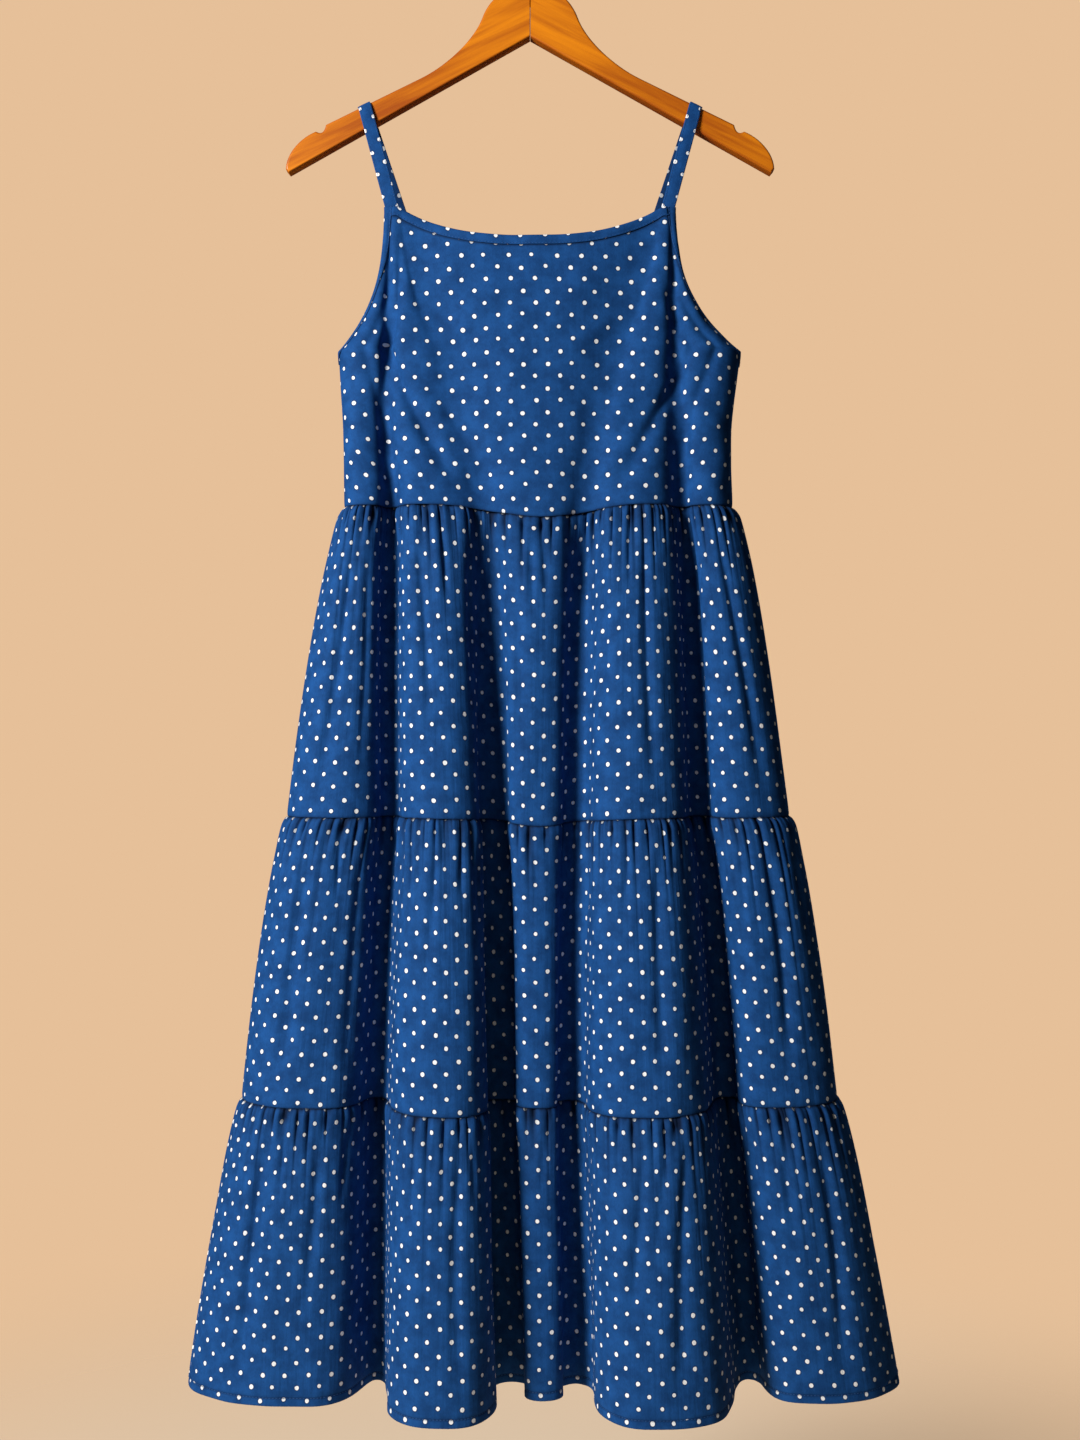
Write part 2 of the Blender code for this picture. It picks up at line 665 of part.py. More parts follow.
def arm_outline():
    """The outline of the arm on the right, from the mitre's top round to its foot."""
    centre_z = HANGER_TOP_Z - HANGER_NECK_RADIUS
    outline = [(MITRE_GAP / 2, HANGER_TOP_Z)]
    for degrees in HANGER_NECK_DEG:
        angle = math.radians(degrees)
        x = HANGER_NECK_RADIUS * math.cos(angle)
        outline.append((x, centre_z + HANGER_NECK_RADIUS * math.sin(angle)))
    start = outline[-1]
    turn = math.radians(HANGER_NECK_DEG[-1])
    (x0, z0), (x1, z1) = HANGER_SHOULDER, HANGER_NOTCH[0]
    size = math.dist((x0, z0), (x1, z1))
    handle_1 = (
        start[0] + NECK_HANDLE * math.sin(turn),
        start[1] - NECK_HANDLE * math.cos(turn),
    )
    handle_2 = (
        x0 - NECK_HANDLE * (x1 - x0) / size,
        z0 - NECK_HANDLE * (z1 - z0) / size,
    )
    for k in range(1, 8):
        outline.append(bezier((start, handle_1, handle_2, HANGER_SHOULDER), k / 7))
    outline += HANGER_NOTCH
    tip = (HANGER_TIP_X, HANGER_TIP_Z)
    nose = (HANGER_NOTCH[-1], HANGER_NOSE[0], HANGER_NOSE[1], tip)
    for k in range(1, 6):
        outline.append(bezier(nose, k / 5))
    outline.append(HANGER_TIP_BOTTOM)
    outline.append((MITRE_GAP / 2, HANGER_APEX_Z))
    return outline


def hanger_arm(name, side, bore):
    """One wooden arm, cut from board with rounded edges and mitred at the middle."""
    made = bmesh.new()
    half = HANGER_THICKNESS / 2
    ring = [made.verts.new((side * x, -half, z)) for x, z in arm_outline()]
    face = made.faces.new(ring)
    pushed = bmesh.ops.extrude_face_region(made, geom=[face])
    moved = [v for v in pushed["geom"] if isinstance(v, bmesh.types.BMVert)]
    bmesh.ops.translate(made, verts=moved, vec=(0.0, 2 * half, 0.0))
    bmesh.ops.recalc_face_normals(made, faces=made.faces)
    edges = []
    for edge in made.edges:
        a, b = (v.co for v in edge.verts)
        on_face = abs(a.y - b.y) < 1e-6
        at_mitre = max(abs(a.x), abs(b.x)) < MITRE_GAP
        if on_face and not at_mitre:
            edges.append(edge)
    bmesh.ops.bevel(
        made,
        geom=edges,
        offset=HANGER_EDGE_ROUND,
        segments=2,
        profile=0.5,
        affect="EDGES",
        clamp_overlap=True,
    )
    mesh = bpy.data.meshes.new(name)
    made.to_mesh(mesh)
    made.free()
    mesh.shade_smooth()
    mesh.set_sharp_from_angle(angle=math.radians(40.0))
    mesh.materials.append(finish("honey_wood"))
    body = bpy.data.objects.new(name, mesh)
    bpy.context.scene.collection.objects.link(body)
    cut = body.modifiers.new("shank_bore", "BOOLEAN")
    cut.operation = "DIFFERENCE"
    cut.object = bore
    return body


def shank_bore():
    """The hole in the wood for the hook's shank, as a cutter."""
    radius = HOOK_WIRE_RADIUS + HOOK_BORE_GAP
    depth = HOOK_SHANK_DEPTH + HOOK_BORE_GAP
    made = bmesh.new()
    bmesh.ops.create_cone(
        made,
        cap_ends=True,
        segments=16,
        radius1=radius,
        radius2=radius,
        depth=2 * depth,
    )
    mesh = bpy.data.meshes.new("shank_bore_cutter")
    made.to_mesh(mesh)
    made.free()
    cutter = bpy.data.objects.new("shank_bore_cutter", mesh)
    cutter.location = (0.0, 0.0, HANGER_TOP_Z)
    cutter.hide_render = True
    cutter.display_type = "WIRE"
    bpy.context.scene.collection.objects.link(cutter)
    return cutter


def hook_path():
    """The wire's centre line, from its free tip over the top and down to the shank's end."""
    radius = HOOK_INNER_RADIUS + HOOK_WIRE_RADIUS
    centre_z = -HOOK_INNER_RADIUS
    path = []
    turns = 20
    for k in range(turns + 1):
        angle = math.radians(mix(HOOK_TIP_DEG, HOOK_SHANK_DEG, k / turns))
        path.append((radius * math.cos(angle), centre_z + radius * math.sin(angle)))
    lean = math.radians(-HOOK_SHANK_DEG)
    bend_x = HOOK_BEND_RADIUS * (1 - math.cos(lean))
    straight = (path[-1][0] - bend_x) / math.sin(lean)
    start_z = path[-1][1] - straight * math.cos(lean)
    for k in range(5):
        angle = mix(lean, 0.0, k / 4)
        x = HOOK_BEND_RADIUS * (1 - math.cos(angle))
        drop = HOOK_BEND_RADIUS * (math.sin(lean) - math.sin(angle))
        path.append((x, start_z - drop))
    path.append((0.0, HANGER_TOP_Z - HOOK_SHANK_DEPTH))
    return path


def hook(name):
    curve = bpy.data.curves.new(name, "CURVE")
    curve.dimensions = "3D"
    curve.bevel_depth = HOOK_WIRE_RADIUS
    curve.bevel_resolution = 3
    curve.use_fill_caps = True
    path = hook_path()
    spline = curve.splines.new("POLY")
    spline.points.add(len(path) - 1)
    for point, (x, z) in zip(spline.points, path):
        point.co = (x, 0.0, z, 1.0)
    curve.materials.append(finish("polished_steel"))
    body = bpy.data.objects.new(name, curve)
    bpy.context.scene.collection.objects.link(body)
    return body


def main():
    clear_scene()
    bodices = {}
    for facing, side_name, skirt_folds, bodice_folds in (
        (FRONT, "front", SKIRT_FRONT, BODICE_FRONT),
        (BACK, "back", SKIRT_BACK, BODICE_BACK),
    ):
        panel = Panel(Bodice(bodice_folds, skirt_folds).rows(), facing)
        bodices[side_name] = panel
        panel_mesh(f"bodice_{side_name}", panel)
        neck_band(f"neck_band_{side_name}", panel)
        for tier in TIERS:
            gathers = tier.front_gathers if facing == FRONT else tier.back_gathers
            tier_panel(tier, skirt_folds, facing, gathers, side_name)
    bore = shank_bore()
    for side, hand in ((-1, "left"), (1, "right")):
        armhole_band(f"armhole_band_{hand}", bodices["front"], bodices["back"], side > 0)
        strap(f"strap_{hand}", side)
        hanger_arm(f"hanger_arm_{hand}", side, bore)
    hook("hanger_hook")


main()
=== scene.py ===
import math
from collections import namedtuple

import bmesh
import bpy
import numpy as np
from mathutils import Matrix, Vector


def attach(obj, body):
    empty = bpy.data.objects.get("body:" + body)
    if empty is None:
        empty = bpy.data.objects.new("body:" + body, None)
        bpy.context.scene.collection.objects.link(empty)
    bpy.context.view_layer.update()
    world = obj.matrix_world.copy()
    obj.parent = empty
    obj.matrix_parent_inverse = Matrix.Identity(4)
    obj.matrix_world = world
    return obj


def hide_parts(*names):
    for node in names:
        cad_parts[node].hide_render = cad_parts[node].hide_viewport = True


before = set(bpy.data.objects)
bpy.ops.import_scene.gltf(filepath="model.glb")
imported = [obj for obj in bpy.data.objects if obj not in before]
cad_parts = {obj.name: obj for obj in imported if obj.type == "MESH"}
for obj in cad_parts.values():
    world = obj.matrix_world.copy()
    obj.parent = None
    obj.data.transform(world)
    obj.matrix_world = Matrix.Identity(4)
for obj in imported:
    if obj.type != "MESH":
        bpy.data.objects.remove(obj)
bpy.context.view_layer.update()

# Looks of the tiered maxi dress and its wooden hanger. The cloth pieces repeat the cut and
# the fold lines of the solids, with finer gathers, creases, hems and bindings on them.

FRONT = -1
BACK = 1

# Heights of the seams and edges, measured down from the inside top of the hook
STRAP_CORNER_Z = -0.270
NECK_DROP = 0.028
CHEST_Z = -0.396
HEM_Z = -1.3300
DIP_CENTRE_X = 0.010
Dip = namedtuple("Dip", "z depth width")
SEAMS = {
    "waist": Dip(-0.5385, 0.012, 0.052),
    "seam_1": Dip(-0.8180, 0.008, 0.045),
    "seam_2": Dip(-1.0730, 0.003, 0.150),
    "hem": Dip(HEM_Z, 0.0, 1.0),
}

# Shapes of the cut
ARMHOLE_POWER = 2.7
ARMHOLE_DEPTH_POWER = 0.8
NECK_POWER = 2.6
BAND_WIDTH = 0.0085
BAND_STEP = 0.04

# Shape of a fold between its ridge and its groove
RIDGE_REACH = (0.70, 0.50)
GROOVE_REACH = (0.32, 0.12)
STEEPEST = 1.4
SIDE_REACH = 0.55
SIDE_FLAT = 0.40
SIDE_LEVEL = 0.60
SIDE_TURN_POWER = 0.7
CURVE_STEPS = 40


def metres(folds):
    return [[(x / 1000, depth / 1000) for x, depth in levels] for levels in folds]


# The folds of the skirt, as (x, depth) in millimetres at the waist, the two seams and the hem
SKIRT_LEVELS = ("waist", "seam_1", "seam_2", "hem")
SKIRT_FRONT = metres((
    ((-169, 0), (-221, 0), (-262, 0), (-311, 0)),
    ((-150, 28), (-168, 38), (-197, 50), (-205, 62)),
    ((-127.5, 10), (-127, 11), (-139, 14), (-139, 18)),
    ((-90, 34), (-76, 50), (-73, 74), (-74, 104)),
    ((-39, 24), (-32, 15), (-26, 20), (-17, 30)),
    ((8, 38), (6, 29), (8, 38), (11, 50)),
    ((48, 27), (40, 18), (35, 24), (42, 34)),
    ((93, 38), (97, 52), (106, 76), (112, 106)),
    ((138, 13), (154, 11), (177, 14), (198, 17)),
    ((160, 28), (190, 37), (220, 46), (252, 56)),
    ((184, 0), (236, 0), (280, 0), (335, 0)),
))
SKIRT_BACK = metres((
    ((-169, 0), (-221, 0), (-262, 0), (-311, 0)),
    ((-143, 22), (-170, 34), (-205, 46), (-243, 60)),
    ((-112, 13), (-126, 14), (-150, 18), (-172, 22)),
    ((-75, 28), (-83, 40), (-95, 54), (-106, 72)),
    ((-35, 18), (-36, 18), (-38, 22), (-40, 28)),
    ((8, 30), (10, 40), (14, 52), (20, 66)),
    ((47, 18), (55, 16), (66, 20), (78, 24)),
    ((88, 29), (103, 42), (122, 58), (142, 78)),
    ((128, 13), (148, 14), (174, 16), (203, 20)),
    ((157, 22), (189, 32), (224, 44), (265, 56)),
    ((184, 0), (236, 0), (280, 0), (335, 0)),
))

# The folds of the bodice, in the same way, at its top, upper, chest and middle levels
BODICE_FRONT = metres((
    ((-131, 20), (-140, 12), (-174, 0), (-170, 0)),
    ((-128.5, 20.5), (-134, 19), (-144, 22.5), (-151, 25)),
    ((-126, 20.5), (-128, 16.5), (-130, 14.5), (-130, 14.5)),
    ((-121, 22), (-115, 25.5), (-105.5, 27.5), (-100, 30)),
    ((-116, 21.5), (-104, 22.5), (-82, 24.5), (-63, 26.5)),
    ((2, 30), (4, 34), (5, 36), (5, 37)),
    ((116, 21.5), (102, 23.5), (82, 26.5), (62, 29)),
    ((121, 22), (116, 26.5), (106, 30.5), (92, 34)),
    ((126, 20.5), (129, 19), (131, 18), (137, 17)),
    ((128.5, 20.5), (136, 21), (148, 26), (156, 27)),
    ((131, 20), (144, 12), (191, 0), (183, 0)),
))
BODICE_BACK = metres((
    ((-125, 18), (-137, 11), (-174, 0), (-170, 0)),
    ((-123, 18.5), (-130, 18), (-146, 20), (-146, 21)),
    ((-120.5, 19), (-121, 15), (-120, 12), (-115, 12)),
    ((-117, 20), (-108, 23), (-95, 26), (-84, 27)),
    ((-112.5, 19.5), (-96, 19), (-70, 18), (-50, 18)),
    ((2, 26), (4, 28), (6, 29), (7, 30)),
    ((112.5, 19.5), (98, 19), (74, 18), (60, 18)),
    ((117, 20), (110, 23), (100, 27), (94, 28)),
    ((120.5, 19), (123, 15), (127, 12), (128, 12)),
    ((123, 18.5), (134, 18), (152, 21), (156, 21)),
    ((125, 18), (141, 11), (191, 0), (183, 0)),
))
CHEST_LEVEL = 2.0
BAND_LEVEL = 2.93
TOP_LEVEL = 3.0

# The tiers, with the number of gathers that each panel has along its top edge
Tier = namedtuple("Tier", "name top bottom flare front_gathers back_gathers")
TIERS = (
    Tier("tier_1", "waist", "seam_1", 0.68, 46, 40),
    Tier("tier_2", "seam_1", "seam_2", 0.68, 54, 46),
    Tier("tier_3", "seam_2", "hem", 0.77, 62, 52),
)

# Cloth wall, seams and hem, with the painted shade along the seams and in the hem
WALL = 0.0006
SEAM_GAP = 0.0003
SIDE_SEAM_DEPTH = 0.00031
LEAST_DEPTH = 0.00045
ALLOWANCE = 0.007
ALLOWANCE_FLATTENING = 0.5
ALLOWANCE_SINK = 0.0014
ALLOWANCE_SHADE = 0.3
ALLOWANCE_SHADE_FROM = -0.002
EDGE_TURN = 0.0009
EDGE_TURN_LENGTH = 0.0016
# painted shade: the dark line along each seam
SEAM_PAINTED_SHADE = 0.80
SEAM_PAINTED_SHADE_LENGTH = 0.0008
HEM_TURN = 0.0090
HEM_TURN_ROWS = ((-0.0003, 0.0006), (0.0008, 0.0012), (0.0040, 0.0012), (HEM_TURN, 0.0011))
HEM_TURN_FLAT = 0.0020
HEM_INSIDE_SHADE = 0.4
HEM_STITCH = 0.0068
HEM_DITCH = 0.00045
HEM_DITCH_WIDTH = 0.0011
HEM_DITCH_SHADE = 0.55
SKIRT_DROP = SEAMS["waist"].z - HEM_Z

# Rows down a tier: in the seam allowance, the first and the widest step, and above the edge
ALLOWANCE_ROWS = (-ALLOWANCE, -0.0035, -0.0012)
FIRST_STEP = 0.0011
STEP_GROWTH = 1.16
WIDEST_STEP = 0.0068
LAST_STEP_SHARE = 0.7
ROWS_ABOVE_SEAM = (0.0072, 0.0055, 0.0038, 0.0025, 0.0014, 0.0006, 0.0)
ROWS_ABOVE_HEM = (0.0100, 0.0084, 0.0076, 0.0068, 0.0060, 0.0050, 0.0036, 0.0020, 0.0008, 0.0)

# The main grooves, which sink further than in the solids: depth of each at the waist and
# at the hem, in metres, and the share of the solid's own depth that none of them passes
GROOVE_FOLDS = slice(2, 9, 2)
PLEAT_START = 0.070
PLEAT_AT_WAIST = 0.25
PLEAT_WIDTHS = {FRONT: (0.0075, 0.0135, 0.0120, 0.0085), BACK: (0.0075,) * 4}
PLEAT_POWER = 1.6
PLEAT_LEAN_WIDTH = 0.0100
PLEAT_LEAN = 0.20
PLEAT_REACH = 0.85
PLEATS = {
    FRONT: ((0.0110, 0.0170), (0.0150, 0.0270), (0.0130, 0.0240), (0.0110, 0.0170)),
    BACK: ((0.0080, 0.0130), (0.0090, 0.0150), (0.0085, 0.0140), (0.0080, 0.0130)),
}

# Gathers below each seam, with columns of the mesh closest together in their troughs, and the
# painted shade in those troughs
GATHER_COLUMNS = 10
COLUMN_SHARES = 20001
COLUMN_TROUGH = (0.16, 2.0)
COLUMN_TROUGH_WEIGHT = 2.2
SPACING_WAVES = ((0.17, 2.1, 0.7), (0.13, 4.7, 2.0))
GATHER_AT_SEAM = 0.0013
GATHER_SWELL = 0.0030
GATHER_SWELL_SPREAD = 0.40
GATHER_SWELL_AT = 0.008
GATHER_LENGTH = 0.022
GATHER_LENGTH_SPREAD = 0.80
GATHER_WIDTH = 0.125
GATHER_WIDENING = 11.0
GATHER_POWER = 1.3
GATHER_CREST = 0.36
GATHER_TROUGH = 1.40
GATHER_SHADE = 0.85
GATHER_SHADE_SPREAD = 0.4
GATHER_SIDE_FADE = 0.012

# The fine gathers between the main ones, and the long folds that run further down
Gathers = namedtuple("Gathers", "per_gather shift width power height spread length seed shade")
OTHER_GATHERS = (
    Gathers(2.1, 0.4, 0.20, 1.6, 0.0015, 0.7, 0.012, 3, 0.55),
    Gathers(0.47, 0.2, 0.090, 1.4, 0.0024, 0.8, 0.075, 5, 0.30),
)
OTHER_CREST = 0.3

# Puffed cloth under a seam, its tuck into the seam, slow ripples, and the flat cut's fullness
PUFF = 0.0008
PUFF_LENGTH = 0.040
SEAM_TUCK = 2.6
SEAM_TUCK_LENGTH = 0.0030
RIPPLE_HEIGHT = 0.00042
RIPPLE_LENGTH = 0.26
RIPPLE_START = 0.2
FULLNESS = 1.08
FULL_ROWS = 0.7

# Shape of a crease
CREASE_DEPTH = 1.2
CREASE_WIDTH = 0.78
CREASE_SPREAD = (0.75, 1.25)
CREASE_SWAY = 0.003
CREASE_SWAY_PACE = 5.0
CREASE_SWAY_START = 40
CREASE_ONSET = 0.22
CREASE_ENDING = 0.30
CREASE_OVERRUN = 0.02

# Bodice: columns and rows of the mesh, its slow unevenness, and the lines under the arm
BAND_COLUMNS = 6
BAND_ROWS = 6
BODICE_COLUMNS = 190
UPPER_ROWS = 44
LOWER_ROWS = 56
LOWEST_LEVELS = (0.05, 0.034, 0.02, 0.01, 0.004, 0)
MIDDLE_FOLD = 5
BODICE_RIPPLE = 0.8
BODICE_RIPPLE_SEED = 3.0
BODICE_SIDE_FADE = 0.03
UNDER_ARM_TURNS = (0.2, 0.4, 0.6, 0.8)
SMALL_STEP = 1e-5

# The binding's section, as (share of its width from the edge, height over the cloth), and
# the painted shade line at its sewn edge
BINDING = (
    (1.00, 0.0003), (0.985, 0.0010), (0.92, 0.0012), (0.82, 0.00085), (0.70, 0.0012),
    (0.45, 0.0013), (0.20, 0.0012), (0.05, 0.0009), (-0.04, 0.0000), (0.05, -0.0009),
    (0.25, -0.0011), (0.60, -0.0011), (0.90, -0.0009), (1.00, -0.0003),
)
BINDING_PAINTED_SHADE = {1.00: 1.0, 0.985: 0.55}

# Stitches
STITCH_PITCH = 0.0030
STITCH_LENGTH = 0.0023
STITCH_UNEVENNESS = 0.15
STITCH_SEED = 4
THREAD_RADIUS = 0.00028
HEM_STITCH_ROW = -11
BINDING_STITCH = 0.84
BINDING_STITCH_HEIGHT = 0.00105
# painted shade on the strap's inner face
STRAP_INNER_PAINTED_SHADE = 0.6
STRAP_STITCH = 0.80
STRAP_STITCH_HEIGHT = 0.84

# Straps
STRAP_WIDTH = 0.0120
STRAP_WALL = 0.0014
STRAP_TOP_X = 0.1506
STRAP_FRONT_X = 0.1248
STRAP_BACK_X = 0.1185
STRAP_TUCK = 0.010
STRAP_CLEAR = 0.0020
STRAP_SEAT_GAP = 0.0004
STRAP_EDGE_DEPTH = (0.0185, 0.0165)
STRAP_TUCK_DEPTH = (0.0166, 0.0148)
STRAP_BEND_STEP_DEG = 12
STRAP_HANG_STEPS = 12
STRAP_PRINT_SHIFT = 0.0054

# The strap's section, as (share of half its width, share of half its thickness)
RIBBON = (
    (-1.00, -0.45), (-0.96, -1.0), (-0.80, -0.80), (-0.68, -1.0), (0.0, -1.05), (0.68, -1.0),
    (0.80, -0.80), (0.96, -1.0), (1.00, -0.45), (1.00, 0.45), (0.96, 1.0), (0.80, 0.72),
    (0.68, 1.0), (0.0, 1.1), (-0.68, 1.0), (-0.80, 0.72), (-0.96, 1.0), (-1.00, 0.45),
)

# Wooden hanger
HANGER_THICKNESS = 0.0130
HANGER_EDGE_ROUND = 0.0018
HANGER_TOP_Z = -0.0620
HANGER_APEX_Z = -0.1101
HANGER_NECK_RADIUS = 0.0460
HANGER_NECK_END_DEG = 20
HANGER_SHOULDER = (0.0990, -0.1476)
HANGER_NOTCH = ((0.1855, -0.1901), (0.1868, -0.1964), (0.1895, -0.1992), (0.1945, -0.1961))
HANGER_TIP = (0.2220, -0.2300)
HANGER_TIP_BOTTOM = (0.2190, -0.2336)
HANGER_NOSE = ((0.2075, -0.2010), (0.2215, -0.2150))
NECK_HANDLE = 0.0235
MITRE_GAP = 0.0003
MITRE_CHAMFER = 0.0003
EDGE_STEPS = 5
FLAT_MARGIN = 0.0004
LONGEST_MITRE = 1.6
NECK_STEPS_DEG = range(84, HANGER_NECK_END_DEG - 1, -4)
GRAIN_SHIFT = 0.7
SHARP_ANGLE_DEG = 32

# Steel hook
HOOK_WIRE_RADIUS = 0.0019
HOOK_INNER_RADIUS = 0.0190
HOOK_TIP_DEG = 205.0
HOOK_SHANK_DEG = -62.0
HOOK_BEND_RADIUS = 0.0080
HOOK_SHANK_DEPTH = 0.0180
HOOK_SIDES = 20
HOOK_STEPS = 64
HOOK_BEND_STEPS = 12
HOOK_TIP_RINGS = 5
HOOK_TIP_SCALE = 0.05

# The printed dots
DOT_PITCH = 0.0154
DOT_RADIUS = 0.00182
DOT_RADIUS_SPREAD = 0.012
DOT_JITTER = 0.0011
DOT_TURN_DEG = 45

# Colours, as linear red, green and blue with alpha
CLOTH_BLUE = (0.0030, 0.0400, 0.1550, 1.0)
CLOTH_BLUE_LIGHT = (0.0090, 0.0800, 0.2850, 1.0)
CLOTH_SHADE = (0.0030, 0.0220, 0.0900, 1.0)
# painted shade colour, for seams, gather troughs, the hem, binding edges and the strap's inner face
CLOTH_PAINTED_SHADE = (0.0006, 0.0040, 0.0180, 1.0)
CLOTH_SHEEN = (0.15, 0.45, 1.0, 1.0)
DOT_WHITE = (0.94, 0.96, 0.98, 1.0)
THREAD_DARK = (0.004, 0.045, 0.170, 1.0)
THREAD_LIGHT = (0.012, 0.090, 0.300, 1.0)
WOOD_DARK = (0.380, 0.072, 0.002, 1.0)
WOOD_LIGHT = (0.860, 0.262, 0.003, 1.0)
STEEL = (0.62, 0.62, 0.64, 1.0)
BACKGROUND = (0.791, 0.527, 0.319, 1.0)
ROOM = (0.80, 0.78, 0.76, 1.0)
FLOOR = (0.86, 0.70, 0.53, 1.0)

# Studio: each lamp's place, target, size, power and colour, then the camera and the floor
LAMPS = {
    "key_light": ((-1.86, -1.66, 0.15), (0.0, 0.0, -0.80), 0.85, 101.0, (1.0, 0.98, 0.95)),
    "fill_light": ((0.6, -2.9, -0.5), (0.0, 0.0, -0.80), 1.2, 2.0, (1.0, 0.98, 0.95)),
    "back_light": ((0.9, 2.2, 0.3), (0.0, 0.0, -0.75), 1.6, 40.0, (1.0, 0.97, 0.93)),
}
ROOM_LIGHT = 0.03
CAMERA_PLACE = (0.009, -1.42, -0.7309)
CAMERA_LENS = 38.92
CAMERA_SENSOR = 36.0
FLOOR_Z = -1.70
FLOOR_RADIUS = 1.6
FLOOR_SIDES = 96
FLOOR_FADE_FROM = 0.3

# Creases of the tiers and the bodice: place across at the top and at the
# bottom in thousandths of the panel, start and end down the panel in hundredths of it, width
# and depth in tenths of a millimetre
Crease = namedtuple("Crease", "top bottom start end width depth")
CREASE_UNITS = Crease(1000, 1000, 100, 100, 10000, 10000)
FRONT_CREASES = {
    "tier_1": (
        (118, 80, 10, 98, 75, 30), (142, 152, 12, 92, 60, 16), (295, 315, 8, 75, 70, 22),
        (342, 353, 5, 34, 50, 24), (399, 382, 6, 66, 65, 30), (463, 482, 8, 85, 70, 26),
        (485, 505, 5, 30, 45, 22), (502, 535, 5, 28, 45, 18), (562, 600, 5, 28, 45, 18),
        (612, 620, 7, 79, 70, 28), (662, 672, 5, 26, 45, 18), (699, 699, 6, 95, 75, 32),
        (852, 830, 5, 30, 50, 24), (896, 924, 6, 96, 75, 30),
    ),
    "tier_2": (
        (92, 81, 5, 98, 85, 32), (128, 150, 5, 30, 50, 20), (157, 168, 5, 98, 80, 20),
        (293, 288, 5, 30, 50, 18), (333, 315, 5, 60, 65, 20), (371, 366, 5, 30, 50, 20),
        (401, 400, 5, 45, 60, 26), (501, 516, 5, 30, 50, 18), (578, 560, 5, 34, 50, 20),
        (622, 604, 5, 30, 50, 18), (654, 622, 5, 36, 55, 18), (699, 686, 5, 95, 80, 30),
        (849, 846, 5, 30, 50, 22), (880, 852, 5, 45, 55, 20), (915, 905, 5, 95, 80, 34),
        (952, 954, 5, 45, 60, 26),
    ),
    "tier_3": (
        (94, 78, 5, 99, 85, 32), (119, 105, 5, 30, 50, 18), (155, 142, 5, 73, 75, 28),
        (186, 165, 5, 34, 55, 24), (323, 309, 5, 45, 55, 20), (345, 331, 5, 30, 50, 16),
        (375, 370, 5, 99, 80, 26), (390, 402, 5, 32, 50, 16), (510, 505, 5, 30, 50, 18),
        (565, 540, 5, 30, 50, 18), (650, 636, 5, 75, 75, 24), (677, 652, 5, 50, 60, 16),
        (705, 675, 5, 99, 85, 26), (850, 825, 5, 32, 50, 18), (883, 879, 5, 50, 60, 20),
        (926, 914, 5, 99, 85, 32),
    ),
}
BACK_CREASES = {
    "tier_1": (
        (75, 90, 6, 92, 75, 28), (205, 190, 5, 45, 55, 22), (310, 335, 6, 80, 70, 26),
        (365, 360, 5, 35, 50, 20), (470, 455, 6, 90, 75, 30), (540, 560, 5, 50, 60, 24),
        (640, 655, 6, 85, 70, 26), (705, 690, 5, 38, 50, 20), (800, 790, 5, 55, 60, 22),
        (915, 905, 6, 95, 75, 30),
    ),
    "tier_2": (
        (85, 70, 5, 96, 85, 30), (160, 175, 5, 45, 60, 22), (290, 300, 5, 70, 70, 24),
        (355, 340, 5, 40, 55, 20), (455, 470, 5, 95, 80, 30), (560, 545, 5, 48, 60, 22),
        (660, 675, 5, 80, 70, 26), (745, 735, 5, 35, 55, 20), (850, 840, 5, 60, 65, 24),
        (930, 920, 5, 96, 80, 30),
    ),
    "tier_3": (
        (65, 75, 5, 99, 85, 30), (150, 135, 5, 50, 60, 20), (265, 280, 5, 85, 75, 26),
        (345, 350, 5, 40, 55, 18), (450, 430, 5, 95, 80, 30), (535, 550, 5, 55, 65, 22),
        (655, 640, 5, 90, 75, 26), (740, 755, 5, 42, 55, 20), (850, 860, 5, 70, 70, 24),
        (935, 925, 5, 99, 85, 30),
    ),
}
BODICE_CREASES = {
    FRONT: (
        (30, 205, 6, 100, 70, 16), (45, 350, 0, 99, 90, 42), (85, 440, 45, 100, 70, 10),
        (915, 580, 50, 100, 70, 9), (950, 665, 10, 99, 85, 28), (968, 800, 6, 100, 70, 18),
    ),
    BACK: (
        (30, 180, 10, 100, 65, 12), (60, 330, 35, 100, 70, 10), (940, 690, 30, 100, 70, 10),
        (970, 830, 10, 100, 65, 12),
    ),
}
CREASES = {FRONT: FRONT_CREASES, BACK: BACK_CREASES}


def mix(a, b, share):
    return a + (b - a) * share


def smooth(low, high, value):
    share = np.clip((value - low) / (high - low), 0.0, 1.0)
    return share * share * (3.0 - 2.0 * share)


def uneven(number, spread):
    """A fixed unevenness about 1 for each number."""
    wave = np.sin(number * 12.9898 + 4.1) * 43.758
    return 1.0 + spread * (2.0 * (wave - np.floor(wave)) - 1.0)


def dying(distance, length):
    """1 at the start, and less and less further on."""
    return np.exp(-distance / length)


def bezier(corners, t):
    a, b, c, d = corners
    u = 1 - t
    return u**3 * a + 3 * u * u * t * b + 3 * u * t * t * c + t**3 * d


def seam_height(level, x):
    dip = SEAMS[level]
    return dip.z - dip.depth * np.exp(-(((x - DIP_CENTRE_X) / dip.width) ** 2))


def through(values, place):
    """A smooth curve through evenly spaced values, read at a place counted in values."""
    i = min(max(int(place), 0), len(values) - 2)
    t = place - i
    before = values[max(i - 1, 0)]
    a, b = values[i], values[i + 1]
    after = values[min(i + 2, len(values) - 1)]
    slope_a, slope_b = (b - before) / 2, (after - a) / 2
    h = t * t * (3 - 2 * t)
    return mix(a, b, h) + slope_a * t * (1 - t) ** 2 - slope_b * t * t * (1 - t)


